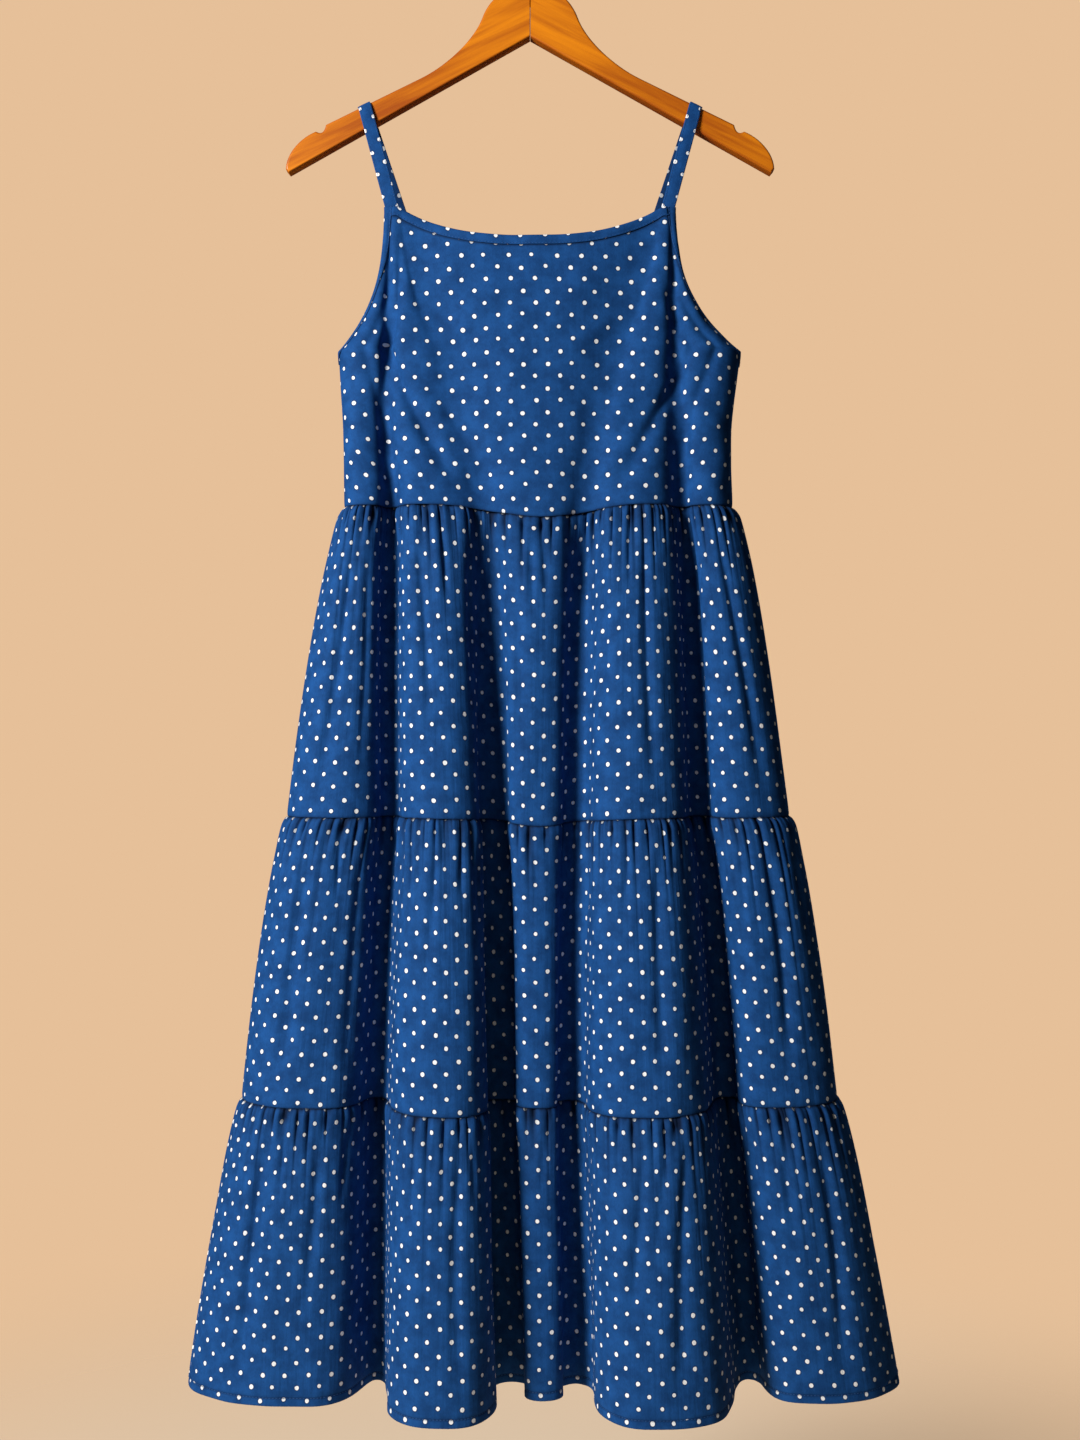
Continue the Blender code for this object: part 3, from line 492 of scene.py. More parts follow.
def fold_curves(keys, side_turn):
    """The control points of the curves from each fold line of a level to the next."""
    curves = []
    last = len(keys) - 2
    for i, ((x0, d0), (x1, d1)) in enumerate(zip(keys, keys[1:])):
        run = x1 - x0
        steep = min(abs(d1 - d0) / max(run, 1e-6), STEEPEST) / STEEPEST
        ridge = run * (RIDGE_REACH[0] + RIDGE_REACH[1] * steep)
        groove = run * (GROOVE_REACH[0] + GROOVE_REACH[1] * steep)
        side = SIDE_REACH * max(d0, d1) * side_turn
        flat = SIDE_FLAT * run * (1 - side_turn)
        start, end = (ridge, groove) if i % 2 else (groove, ridge)
        handle_0, handle_1 = (x0 + start, d0), (x1 - end, d1)
        if i == 0:
            handle_0, handle_1 = (x0 + flat, d0 + side), (x1 - SIDE_LEVEL * run, d1)
        if i == last:
            handle_0, handle_1 = (x0 + SIDE_LEVEL * run, d0), (x1 - flat, d1 + side)
        curves.append(((x0, d0), handle_0, handle_1, (x1, d1)))
    return np.array(curves)


class Section:
    """One level of a panel, as a plan curve of (x, depth) from its left end to its right."""

    def __init__(self, keys, side_turn=1.0):
        corners = fold_curves(keys, side_turn).transpose(1, 0, 2)[:, :, None, :]
        points = bezier(corners, np.linspace(0, 1, CURVE_STEPS + 1)[None, :, None])
        self.path = np.concatenate([points[0]] + [p[1:] for p in points[1:]])
        legs = np.hypot(*np.diff(self.path, axis=0).T)
        self.distance = np.concatenate([[0.0], np.cumsum(legs)])
        self.ends = self.distance[::CURVE_STEPS]
        self.total = self.distance[-1]

    def along(self, distance):
        columns = [np.interp(distance, self.distance, self.path[:, k]) for k in (0, 1)]
        return np.stack(columns, axis=-1)

    def places(self, distance):
        """Each point's place counted in curves, so that another level can be read there."""
        return np.interp(distance, self.ends, np.arange(len(self.ends)))

    def at(self, places):
        return self.along(np.interp(places, np.arange(len(self.ends)), self.ends))


def plan_normals(plan):
    """Outward unit normals of a plan curve that runs from left to right."""
    run, rise = np.gradient(plan[:, 0]), np.gradient(plan[:, 1])
    size = np.maximum(np.hypot(run, rise), 1e-9)
    return np.stack([-rise / size, run / size], axis=-1)


def keys_between(top, bottom, share):
    return [
        (mix(a[0], b[0], share), mix(a[1], b[1], share)) for a, b in zip(top, bottom)
    ]


def gather_troughs(count, width, power):
    """Narrow troughs at whole counts, as (number of the nearest trough, depth from 0 to 1)."""
    count = count + sum(size * np.sin(count * pace + start) for size, pace, start in SPACING_WAVES)
    number = np.floor(count + 0.5)
    return number, np.exp(-((np.abs(count - number) / width) ** power))


def gather_columns(gathers):
    """Shares across a panel for its columns, closest together in the gathers' troughs."""
    fine = np.linspace(0, 1, COLUMN_SHARES)
    _, trough = gather_troughs(fine * gathers, *COLUMN_TROUGH)
    weight = 1.0 + COLUMN_TROUGH_WEIGHT * (trough[1:] + trough[:-1]) / 2
    spent = np.concatenate([[0.0], np.cumsum(weight)])
    return np.interp(np.linspace(0, spent[-1], gathers * GATHER_COLUMNS + 1), spent, fine)


def gather_wave(u, gathers, fall):
    """Height of the gathers, and the painted shade in their narrow troughs, dying out down the
    cloth.
    """
    fall = max(fall, 0.0)
    width = GATHER_WIDTH * (1.0 + GATHER_WIDENING * fall)
    number, trough = gather_troughs(u * gathers, width, GATHER_POWER)
    length = GATHER_LENGTH * uneven(number + 7, GATHER_LENGTH_SPREAD)
    left = dying(max(fall - GATHER_SWELL_AT, 0.0), length)
    swell = mix(GATHER_AT_SEAM, GATHER_SWELL * uneven(number, GATHER_SWELL_SPREAD),
                min(fall / GATHER_SWELL_AT, 1.0))
    height = swell * left * (GATHER_CREST - GATHER_TROUGH * trough)
    shade = GATHER_SHADE * trough * left * uneven(number + 2, GATHER_SHADE_SPREAD)
    for kind in OTHER_GATHERS:
        count = u * gathers * kind.per_gather + kind.shift
        number, trough = gather_troughs(count, kind.width, kind.power)
        left = dying(fall, kind.length * uneven(number + kind.seed, GATHER_LENGTH_SPREAD))
        height += kind.height * uneven(number, kind.spread) * left * (OTHER_CREST - trough)
        shade += kind.shade * trough * left
    sides = smooth(0.0, GATHER_SIDE_FADE, u) * smooth(0.0, GATHER_SIDE_FADE, 1 - u)
    return height * sides, shade * sides


def crease_height(creases, u, t, width):
    """Height of the listed creases, at shares u across and t down a panel."""
    total = np.zeros_like(u)
    for row in creases:
        crease = Crease(*(value / unit for value, unit in zip(row, CREASE_UNITS)))
        sway = math.sin(CREASE_SWAY_PACE * t + CREASE_SWAY_START * crease.top)
        centre = mix(crease.top, crease.bottom, t) + CREASE_SWAY * sway
        reach = CREASE_WIDTH * crease.width / width * mix(*CREASE_SPREAD, t)
        middle = 0.5 * (crease.start + crease.end)
        low = min(crease.start + CREASE_ONSET, middle)
        high = max(crease.end - CREASE_ENDING, middle)
        fade = smooth(crease.start - CREASE_OVERRUN, low, t)
        fade = float(fade * (1 - smooth(high, crease.end + CREASE_OVERRUN, t)))
        total -= CREASE_DEPTH * crease.depth * fade * np.exp(-(((u - centre) / reach) ** 2))
    return total


def sink_grooves(section, places, plan, normals, down, facing):
    """How far a level's main grooves sink, and its plan with the cloth beside them leaning in."""
    start = smooth(0.0, PLEAT_START, down * SKIRT_DROP)
    distance = np.interp(places, range(len(section.ends)), section.ends)
    sink, lean = np.zeros_like(distance), np.zeros_like(distance)
    grooves = section.ends[GROOVE_FOLDS]
    for groove, (high, low), width in zip(grooves, PLEATS[facing], PLEAT_WIDTHS[facing]):
        depth = mix(high, low, down) * mix(PLEAT_AT_WAIST, 1.0, start)
        off = distance - groove
        sink -= depth * np.exp(-((np.abs(off) / width) ** PLEAT_POWER))
        share = off / PLEAT_LEAN_WIDTH
        lean -= PLEAT_LEAN * depth * share * np.exp(0.5 - 0.5 * share * share)
    reach = np.maximum(PLEAT_REACH * plan[:, 1], LEAST_DEPTH)
    sink = -reach * np.tanh(-sink / reach)
    return sink, plan + lean[:, None] * np.stack([normals[:, 1], -normals[:, 0]], axis=-1)


def ripple(u, t, width, seed):
    """Slow unevenness of hanging cloth."""
    x, z = u * width, t * RIPPLE_LENGTH
    wave = np.sin(x * 95 + 2.1 * np.sin(z * 11 + seed) + seed)
    wave = wave + 0.8 * np.sin(x * 151 - 1.6 * np.sin(z * 17 + 2 * seed) + 2.3 * seed)
    wave = wave + 0.6 * np.sin(x * 47 + z * 13 + 1.9 * seed)
    return RIPPLE_HEIGHT * wave


def fall_steps(drop, hem):
    """Distances down a tier for its rows, with the seam allowance above and a hem below."""
    steps, fall, step = list(ALLOWANCE_ROWS), 0.0, FIRST_STEP
    ending = ROWS_ABOVE_HEM if hem else ROWS_ABOVE_SEAM
    while fall < drop - ending[0] - LAST_STEP_SHARE * step:
        steps.append(fall)
        fall += step
        step = min(step * STEP_GROWTH, WIDEST_STEP)
    return steps + [drop - rest for rest in ending]


def seam_and_edge(fall, below, hem):
    """Height and painted shade line that a row gets from the seam over it and the edge under it."""
    height = PUFF * (dying(fall, PUFF_LENGTH) - SEAM_TUCK * dying(fall, SEAM_TUCK_LENGTH))
    shade = SEAM_PAINTED_SHADE * dying(fall, SEAM_PAINTED_SHADE_LENGTH)
    if hem:
        ditch = math.exp(-(((below - HEM_STITCH) / HEM_DITCH_WIDTH) ** 2))
        return height - HEM_DITCH * ditch, shade + HEM_DITCH_SHADE * ditch
    height -= EDGE_TURN * dying(below, EDGE_TURN_LENGTH)
    return height, shade + SEAM_PAINTED_SHADE * dying(below, SEAM_PAINTED_SHADE_LENGTH)


def tier_grid(tier, folds, facing, gathers, seed):
    """Points, flat cloth places and shades of one gathered panel."""
    top, bottom = ([fold[SKIRT_LEVELS.index(level)] for fold in folds] for level in tier[1:3])
    foot, head = Section(bottom), Section(top)
    u = gather_columns(gathers)
    places = foot.places(u * foot.total)
    z_top = seam_height(tier.top, head.at(places)[:, 0]) - SEAM_GAP
    drops = z_top - seam_height(tier.bottom, foot.at(places)[:, 0])
    drop = float(drops.mean())
    hem = tier.bottom == "hem"
    creases = CREASES[facing][tier.name]
    rows, cloth, shades = [], [], []
    for fall in fall_steps(drop, hem):
        t = min(max(fall / drop, 0.0), 1.0)
        section = Section(keys_between(top, bottom, t**tier.flare))
        plan = section.at(places)
        normals = plan_normals(plan)
        down = (SEAMS["waist"].z - mix(SEAMS[tier.top].z, SEAMS[tier.bottom].z, t)) / SKIRT_DROP
        sink, plan = sink_grooves(section, places, plan, normals, down, facing)
        gather, gather_shade = gather_wave(u, gathers, fall)
        edge, line = seam_and_edge(max(fall, 0.0), drop - fall, hem)
        height = gather * (1 - t**3) + crease_height(creases, u, t, foot.total) + edge
        height += ripple(u, t, foot.total, seed) * smooth(0.0, RIPPLE_START, t)
        # painted shade in the gathers' troughs, at the seams and along the hem
        shade = gather_shade * (1 - t) + line
        if fall < 0:
            height = height * ALLOWANCE_FLATTENING - ALLOWANCE_SINK
            shade = shade * (ALLOWANCE_SHADE if fall < ALLOWANCE_SHADE_FROM else 1.0)
        height += sink
        shades.append(np.minimum(shade, 1.0))
        rows.append(placed(plan, normals, height, z_top - drops * t + max(-fall, 0.0), facing))
        cloth.append(np.stack([u * foot.total, np.full_like(u, -fall)], axis=-1))
    spread = flat_places(np.array(rows))
    for flat in cloth:
        flat[:, 0] = spread
    if hem:
        turn_hem(rows, cloth, facing)
        # painted shade on the inside of the turned-up hem
        shades += [HEM_INSIDE_SHADE * np.ones_like(u)] * (len(rows) - len(shades))
    points, flat = add_side_allowance(np.array(rows), np.array(cloth), facing)
    return points, flat, np.pad(np.array(shades), ((0, 0), (1, 1)), mode="edge")


def placed(plan, normals, height, z, facing):
    """A row of points at a height over its plan curve, on the front or the back."""
    x = plan[:, 0] + normals[:, 0] * height
    depth = np.maximum(plan[:, 1] + normals[:, 1] * height, LEAST_DEPTH)
    return np.stack([x, facing * depth, z], axis=-1)


def flat_places(rows):
    """Each column's place across the flat cloth, which is as wide as the fullest rows."""
    runs = np.linalg.norm(np.diff(rows[len(rows) // 4 :], axis=1), axis=2)
    steps = np.quantile(runs, FULL_ROWS, axis=0) * FULLNESS
    return np.concatenate([[0.0], np.cumsum(steps)])


def turn_hem(rows, cloth, facing):
    """Turns the lowest edge up on the inside, as a second layer."""
    edge = rows[-1]
    plan = np.stack([edge[:, 0], np.abs(edge[:, 1])], axis=-1)
    normals = plan_normals(plan)
    for rise, tuck in HEM_TURN_ROWS:
        row = edge.copy()
        row[:, 0] -= normals[:, 0] * tuck
        row[:, 1] = facing * np.maximum(plan[:, 1] - normals[:, 1] * tuck, LEAST_DEPTH)
        row[:, 2] += rise
        rows.append(row)
        cloth.append(cloth[-1] - np.array([0.0, HEM_TURN_FLAT]))


def add_side_allowance(points, cloth, facing):
    """Adds the narrow turned-in edges that two panels are sewn together by at the sides."""
    ends = []
    for column, inward in ((0, 1.0), (-1, -1.0)):
        edge = points[:, column].copy()
        flat = cloth[:, column].copy()
        edge[:, 1] = facing * SIDE_SEAM_DEPTH
        edge[:, 0] += inward * ALLOWANCE
        flat[:, 0] -= inward * ALLOWANCE
        ends.append((edge[:, None], flat[:, None]))
    (left, left_flat), (right, right_flat) = ends
    points = np.concatenate([left, points, right], axis=1)
    cloth = np.concatenate([left_flat, cloth, right_flat], axis=1)
    return points, cloth


def grid_mesh(name, points, cloth, shade, facing, material):
    """An open sheet through a grid of points, top row first, with its flat cloth as UV map."""
    down, across = points.shape[:2]
    index = np.arange(down * across).reshape(down, across)
    corners = [index[:-1, :-1], index[1:, :-1], index[1:, 1:], index[:-1, 1:]]
    if facing == BACK:
        corners.reverse()
    faces = np.stack([c.ravel() for c in corners], axis=-1)
    mesh = bpy.data.meshes.new(name)
    mesh.from_pydata(points.reshape(-1, 3).tolist(), [], faces.tolist())
    layer = mesh.uv_layers.new(name="cloth")
    layer.data.foreach_set("uv", cloth.reshape(-1, 2)[faces.ravel()].ravel().astype(np.float32))
    # the line attribute holds painted shade for the material to read
    mark_points(mesh, "line", shade)
    return add_object(name, mesh, material)


def put_in_scene(name, data):
    made = bpy.data.objects.new(name, data)
    bpy.context.scene.collection.objects.link(made)
    return made


def add_object(name, mesh, material):
    mesh.shade_smooth()
    mesh.materials.append(material)
    return put_in_scene(name, mesh)


def mark_points(mesh, name, values):
    """Keeps one number for each point of the mesh, for its material to read."""
    mesh.attributes.new(name, "FLOAT", "POINT")
    mesh.attributes[name].data.foreach_set("value", np.asarray(values, np.float32).ravel())


def give_wall(piece):
    thick = piece.modifiers.new("wall", "SOLIDIFY")
    thick.thickness = WALL
    thick.offset = 0.0
    thick.use_rim = True


class Bodice:
    """The surface of one bodice panel, from level 0 at the waist to level 3 at the neck."""

    def __init__(self, bodice_folds, skirt_folds):
        self.folds = list(zip(skirt_folds, bodice_folds))

    def keys(self, level):
        keys = []
        share = level - CHEST_LEVEL
        last = len(self.folds) - 1
        for i, (skirt, (top, upper, chest, middle)) in enumerate(self.folds):
            at_side = i in (0, last)
            if at_side and share > 0:
                x_share = 1 - (1 - share) ** ARMHOLE_POWER
                d_share = share**ARMHOLE_DEPTH_POWER
                keys.append((mix(chest[0], top[0], x_share), mix(chest[1], top[1], d_share)))
                continue
            levels = (skirt[0], middle, chest) if at_side else (skirt[0], middle, chest, upper, top)
            place = 2 + 2 * share if share > 0 else level
            keys.append(tuple(through([v[k] for v in levels], place) for k in (0, 1)))
        return keys

    def section(self, level):
        share = max(level - CHEST_LEVEL, 0.0)
        return Section(self.keys(level), 1 - share**SIDE_TURN_POWER)

    def band_reach(self, level, end):
        """How far along a level the armhole band reaches from the panel's edge."""
        share = max(level - CHEST_LEVEL, BAND_STEP)
        x0, x1 = (self.keys(CHEST_LEVEL + share - step)[end][0] for step in (BAND_STEP, 0.0))
        rise = BAND_STEP * (STRAP_CORNER_Z - CHEST_Z)
        return BAND_WIDTH * math.hypot(1.0, (x1 - x0) / rise)

    def marks(self, level, section):
        """Distances along a level for its columns, the outer ones under the armhole bands."""
        left, right = self.band_reach(level, 0), self.band_reach(level, -1)
        band = np.linspace(0, 1, BAND_COLUMNS + 1)
        inner = np.linspace(left, section.total - right, BODICE_COLUMNS + 1)
        return np.concatenate([band[:-1] * left, inner, section.total - right * (1 - band[1:])])


def under_arm(bodice, facing, end, turn):
    """A line of points and outward directions below the armhole's corner.

    turn goes from 0, along the chest level, to 1, straight down the side seam.
    """
    reach = bodice.band_reach(CHEST_LEVEL, end)
    points, outward = [], []
    for share in np.linspace(0, 1, BAND_COLUMNS + 1):
        drop = reach * turn * share
        low = SEAMS["waist"].z
        level = CHEST_LEVEL * (CHEST_Z - drop - low) / (CHEST_Z - low)
        section = bodice.section(level)
        along = max(reach * (1 - turn) * share, SMALL_STEP)
        steps = np.array([along - SMALL_STEP, along, along + SMALL_STEP])
        plan = section.along(steps if end == 0 else section.total - steps[::-1])
        normal = plan_normals(plan)[1]
        points.append((plan[1, 0], facing * max(plan[1, 1], 0.0), CHEST_Z - drop))
        outward.append((normal[0], facing * normal[1], 0.0))
    return np.array(points), np.array(outward)


def armhole_crossings(sides, end):
    """Lines across an armhole's binding: down the front edge, under the arm, up the back."""
    halves = []
    for facing in (FRONT, BACK):
        bodice, points, outward = sides[facing]
        rows = range(BAND_ROWS + UPPER_ROWS + 1)
        pick = slice(0, BAND_COLUMNS + 1)
        if end == -1:
            pick = slice(-1, -BAND_COLUMNS - 2, -1)
        half = [(points[r, pick], outward[r, pick]) for r in rows]
        half += [under_arm(bodice, facing, end, turn) for turn in UNDER_ARM_TURNS]
        halves.append(half)
    front, back = halves
    seam = under_arm(sides[FRONT][0], FRONT, end, 1.0)
    seam[0][:, 1] = 0.0
    seam[1][:, 1] = 0.0
    lines = front + [seam] + back[::-1]
    return [line for line, _ in lines], [out for _, out in lines]


def top_height(x):
    side = np.minimum(np.abs(x) / (STRAP_FRONT_X - STRAP_WIDTH / 2), 1.0)
    return STRAP_CORNER_Z - NECK_DROP * (1 - side**NECK_POWER)


def bodice_grid(bodice, facing):
    """Points, outward directions and flat cloth places of a bodice panel, top row first."""
    top, waist = bodice.section(TOP_LEVEL), bodice.section(0.0)
    high = top_height(top.along(bodice.marks(TOP_LEVEL, top))[:, 0])
    low = seam_height("waist", waist.along(bodice.marks(0.0, waist))[:, 0]) + SEAM_GAP
    band = [TOP_LEVEL - (TOP_LEVEL - BAND_LEVEL) * k / BAND_ROWS for k in range(BAND_ROWS)]
    body = list(np.linspace(BAND_LEVEL, CHEST_LEVEL, UPPER_ROWS + 1))
    body += list(np.linspace(CHEST_LEVEL, LOWEST_LEVELS[0], LOWER_ROWS + 1))[1:]
    body += LOWEST_LEVELS[1:]
    points, outward, cloth, shades = [], [], [], []
    for level in band + body:
        section = bodice.section(level)
        marks = bodice.marks(level, section)
        plan = section.along(marks)
        normals = plan_normals(plan)
        share = level / CHEST_LEVEL
        if level > BAND_LEVEL:
            z = high - BAND_WIDTH * (TOP_LEVEL - level) / (TOP_LEVEL - BAND_LEVEL)
        elif level > CHEST_LEVEL:
            end = high - BAND_WIDTH
            z = mix(CHEST_Z, end, (level - CHEST_LEVEL) / (BAND_LEVEL - CHEST_LEVEL))
        else:
            z = mix(low, CHEST_Z, share)
        u = marks / section.total
        height = crease_height(BODICE_CREASES[facing], u, 1 - level / TOP_LEVEL, section.total)
        seed = BODICE_RIPPLE_SEED + facing
        height += ripple(u, level, section.total, seed) * BODICE_RIPPLE
        height *= smooth(0, BODICE_SIDE_FADE, u) * smooth(0, BODICE_SIDE_FADE, 1 - u)
        below = z - low
        height -= EDGE_TURN * dying(below, EDGE_TURN_LENGTH)
        # painted shade along the waist seam and under the neck and armhole bindings
        shade = SEAM_PAINTED_SHADE * dying(below, SEAM_PAINTED_SHADE_LENGTH)
        inside = high - BAND_WIDTH - z
        if level > CHEST_LEVEL:
            inside = np.minimum(inside, np.minimum(marks, section.total - marks) - BAND_WIDTH)
        shade = shade + SEAM_PAINTED_SHADE * dying(np.maximum(inside, 0.0), SEAM_PAINTED_SHADE_LENGTH)
        shades.append(np.minimum(shade, 1.0))
        points.append(placed(plan, normals, height, z, facing))
        outward.append(np.stack([normals[:, 0], facing * normals[:, 1], 0 * z], axis=-1))
        cloth.append(np.stack([marks - section.ends[MIDDLE_FOLD], z], axis=-1))
    return np.array(points), np.array(outward), np.array(cloth), np.array(shades)


def point_along(line, share):
    """The point at a share of the way along a line of points, counted in points."""
    place = share * (len(line) - 1)
    return np.array([np.interp(place, np.arange(len(line)), line[:, k]) for k in range(3)])


def binding(name, crossings, outwards, lengths, material):
    """A narrow folded strip sewn over an edge, from crossings that run away from the edge."""
    points, cloth = [], []
    for line, outs, length in zip(crossings, outwards, lengths):
        ring = []
        for share, height in BINDING:
            here = point_along(line, max(share, 0.0))
            if share < 0:
                here = here + (line[0] - line[1]) * share * (1 - len(line))
            ring.append(here + point_along(outs, max(share, 0.0)) * height)
        points.append(ring)
        cloth.append([(length, share * BAND_WIDTH) for share, _ in BINDING])
    # painted shade along the binding's sewn edge
    shade = [BINDING_PAINTED_SHADE.get(share, 0.0) for share, _ in BINDING] * len(points)
    return tube_mesh(name, np.array(points), np.array(cloth), material, shade)


def tube_mesh(name, points, cloth, material, shade=None):
    """A closed tube through rings of points, with its ends filled."""
    count, around = points.shape[:2]
    faces, uvs = [], []
    for i in range(count - 1):
        for k in range(around):
            n = (k + 1) % around
            quad = (i * around + k, i * around + n, (i + 1) * around + n, (i + 1) * around + k)
            faces.append(quad)
            uvs += [cloth[i, k], cloth[i, n], cloth[i + 1, n], cloth[i + 1, k]]
    for i, order in ((0, range(around - 1, -1, -1)), (count - 1, range(around))):
        faces.append(tuple(i * around + k for k in order))
        uvs += [cloth[i, k] for k in order]
    mesh = bpy.data.meshes.new(name)
    mesh.from_pydata(points.reshape(-1, 3).tolist(), [], faces)
    layer = mesh.uv_layers.new(name="cloth")
    layer.data.foreach_set("uv", np.array(uvs, np.float32).ravel())
    if shade is not None:
        mark_points(mesh, "line", shade)
    piece = add_object(name, mesh, material)
    face_outwards(piece)
    return piece


def face_outwards(piece):
    made = bmesh.new()
    made.from_mesh(piece.data)
    bmesh.ops.recalc_face_normals(made, faces=made.faces)
    made.to_mesh(piece.data)
    made.free()


def feed(tree, socket, value):
    """Links a node's output to a socket, or sets the socket's own value."""
    if isinstance(value, bpy.types.NodeSocket):
        tree.links.new(value, socket)
    else:
        socket.default_value = value


def add_node(tree, kind, inputs, **settings):
    node = tree.nodes.new(kind)
    for key, value in settings.items():
        setattr(node, key, value)
    for key, value in dict(inputs).items():
        feed(tree, node.inputs[key], value)
    return node


def stitch_tree():
    """A node tree that lays thread stitches along the edges of a mesh."""
    tree = bpy.data.node_groups.new("stitch_run", "GeometryNodeTree")
    sockets = {}
    for name, kind, way in (
        ("Geometry", "NodeSocketGeometry", "INPUT"), ("Stitch Pitch", "NodeSocketFloat", "INPUT"),
        ("Stitch Length", "NodeSocketFloat", "INPUT"),
        ("Thread Radius", "NodeSocketFloat", "INPUT"),
        ("Unevenness", "NodeSocketFloat", "INPUT"), ("Seed", "NodeSocketInt", "INPUT"),
        ("Thread", "NodeSocketMaterial", "INPUT"), ("Geometry", "NodeSocketGeometry", "OUTPUT"),
    ):
        made = tree.interface.new_socket(name, in_out=way, socket_type=kind)
        sockets.setdefault(name, made.identifier)

    def add(kind, inputs, **settings):
        return add_node(tree, kind, inputs, **settings)

    given = tree.nodes.new("NodeGroupInput").outputs
    run = add("GeometryNodeMeshToCurve", {0: given["Geometry"]})
    run = add("GeometryNodeResampleCurve", {"Curve": run.outputs[0],
                                            "Length": given["Stitch Pitch"]}, mode="LENGTH")
    half = add("ShaderNodeMath", {0: given["Stitch Length"], 1: 0.5}, operation="MULTIPLY")
    size = add("ShaderNodeCombineXYZ", {"X": given["Thread Radius"], "Y": given["Thread Radius"],
                                        "Z": half.outputs[0]})
    bead = add("GeometryNodeMeshUVSphere", {"Segments": 6, "Rings": 4, "Radius": 1.0})
    thread = add("GeometryNodeTransform", {"Geometry": bead.outputs[0], "Scale": size.outputs[0]})
    tangent = add("GeometryNodeInputTangent", {})
    turn = add("FunctionNodeAlignRotationToVector", {"Vector": tangent.outputs[0]}, axis="Z")
    low = add("ShaderNodeMath", {0: 1.0, 1: given["Unevenness"]}, operation="SUBTRACT")
    varied = add("FunctionNodeRandomValue", {2: low.outputs[0], 3: 1.0, "Seed": given["Seed"]},
                 data_type="FLOAT")
    laid = add("GeometryNodeInstanceOnPoints", {
        "Points": run.outputs[0], "Instance": thread.outputs[0], "Rotation": turn.outputs[0],
        "Scale": varied.outputs[1],
    })
    real = add("GeometryNodeRealizeInstances", {0: laid.outputs[0]})
    dressed = add("GeometryNodeSetMaterial", {"Geometry": real.outputs[0],
                                              "Material": given["Thread"]})
    tree.links.new(dressed.outputs[0], tree.nodes.new("NodeGroupOutput").inputs[0])
    return tree, sockets


def stitches(name, tree, sockets, lines, material):
    """Thread stitches along lines of points, as a plain mesh."""
    points, edges = [], []
    for line in lines:
        start = len(points)
        points += [tuple(p) for p in line]
        edges += [(k, k + 1) for k in range(start, len(points) - 1)]
    mesh = bpy.data.meshes.new(name + "_line")
    mesh.from_pydata(points, edges, [])
    holder = put_in_scene(name + "_line", mesh)
    run = holder.modifiers.new("stitches", "NODES")
    run.node_group = tree
    for key, value in (("Stitch Pitch", STITCH_PITCH), ("Stitch Length", STITCH_LENGTH),
                       ("Thread Radius", THREAD_RADIUS), ("Unevenness", STITCH_UNEVENNESS),
                       ("Seed", STITCH_SEED), ("Thread", material)):
        run[sockets[key]] = value
    bpy.context.view_layer.update()
    graph = bpy.context.evaluated_depsgraph_get()
    made = bpy.data.meshes.new_from_object(holder.evaluated_get(graph))
    made.name = name
    bpy.data.objects.remove(holder)
    made.shade_smooth()
    return put_in_scene(name, made)


def arm_directions():
    (x0, z0), (x1, z1) = HANGER_SHOULDER, HANGER_NOTCH[0]
    size = math.dist((x0, z0), (x1, z1))
    along = ((x1 - x0) / size, (z1 - z0) / size)
    return along, (-along[1], along[0])


def arm_top_height(x):
    (x0, z0), (x1, z1) = HANGER_SHOULDER, HANGER_NOTCH[0]
    return mix(z0, z1, (x - x0) / (x1 - x0))


def strand_path(facing):
    """One strand's centre line, from over the middle of the arm to its tuck behind a panel."""
    end_x, edge_depth, tuck_depth = (
        pair[0 if facing == FRONT else 1]
        for pair in ((STRAP_FRONT_X, STRAP_BACK_X), STRAP_EDGE_DEPTH, STRAP_TUCK_DEPTH)
    )
    _, square = arm_directions()
    lift = STRAP_SEAT_GAP + STRAP_WALL / 2
    turn = HANGER_EDGE_ROUND + lift
    flat = HANGER_THICKNESS / 2 - HANGER_EDGE_ROUND
    top = (STRAP_TOP_X + square[0] * lift, arm_top_height(STRAP_TOP_X) + square[1] * lift)
    steps = [(top[0], 0.0, top[1]), (top[0], flat / 2, top[1])]
    for degrees in range(0, 88, STRAP_BEND_STEP_DEG):
        angle = math.radians(degrees)
        fall = turn * (1 - math.cos(angle))
        depth = flat + turn * math.sin(angle)
        steps.append((top[0] - square[0] * fall, depth, top[1] - square[1] * fall))
    start = steps[-1]
    end = (end_x, edge_depth, STRAP_CORNER_Z + STRAP_CLEAR)
    for k in range(1, STRAP_HANG_STEPS + 1):
        steps.append(tuple(mix(a, b, k / STRAP_HANG_STEPS) for a, b in zip(start, end)))
    lean = (start[0] - end[0]) / (start[2] - end[2])
    drop = STRAP_TUCK + STRAP_CLEAR
    steps.append((end[0] - lean * drop, tuck_depth, end[2] - drop))
    return [Vector((x, facing * depth, z)) for x, depth, z in steps]


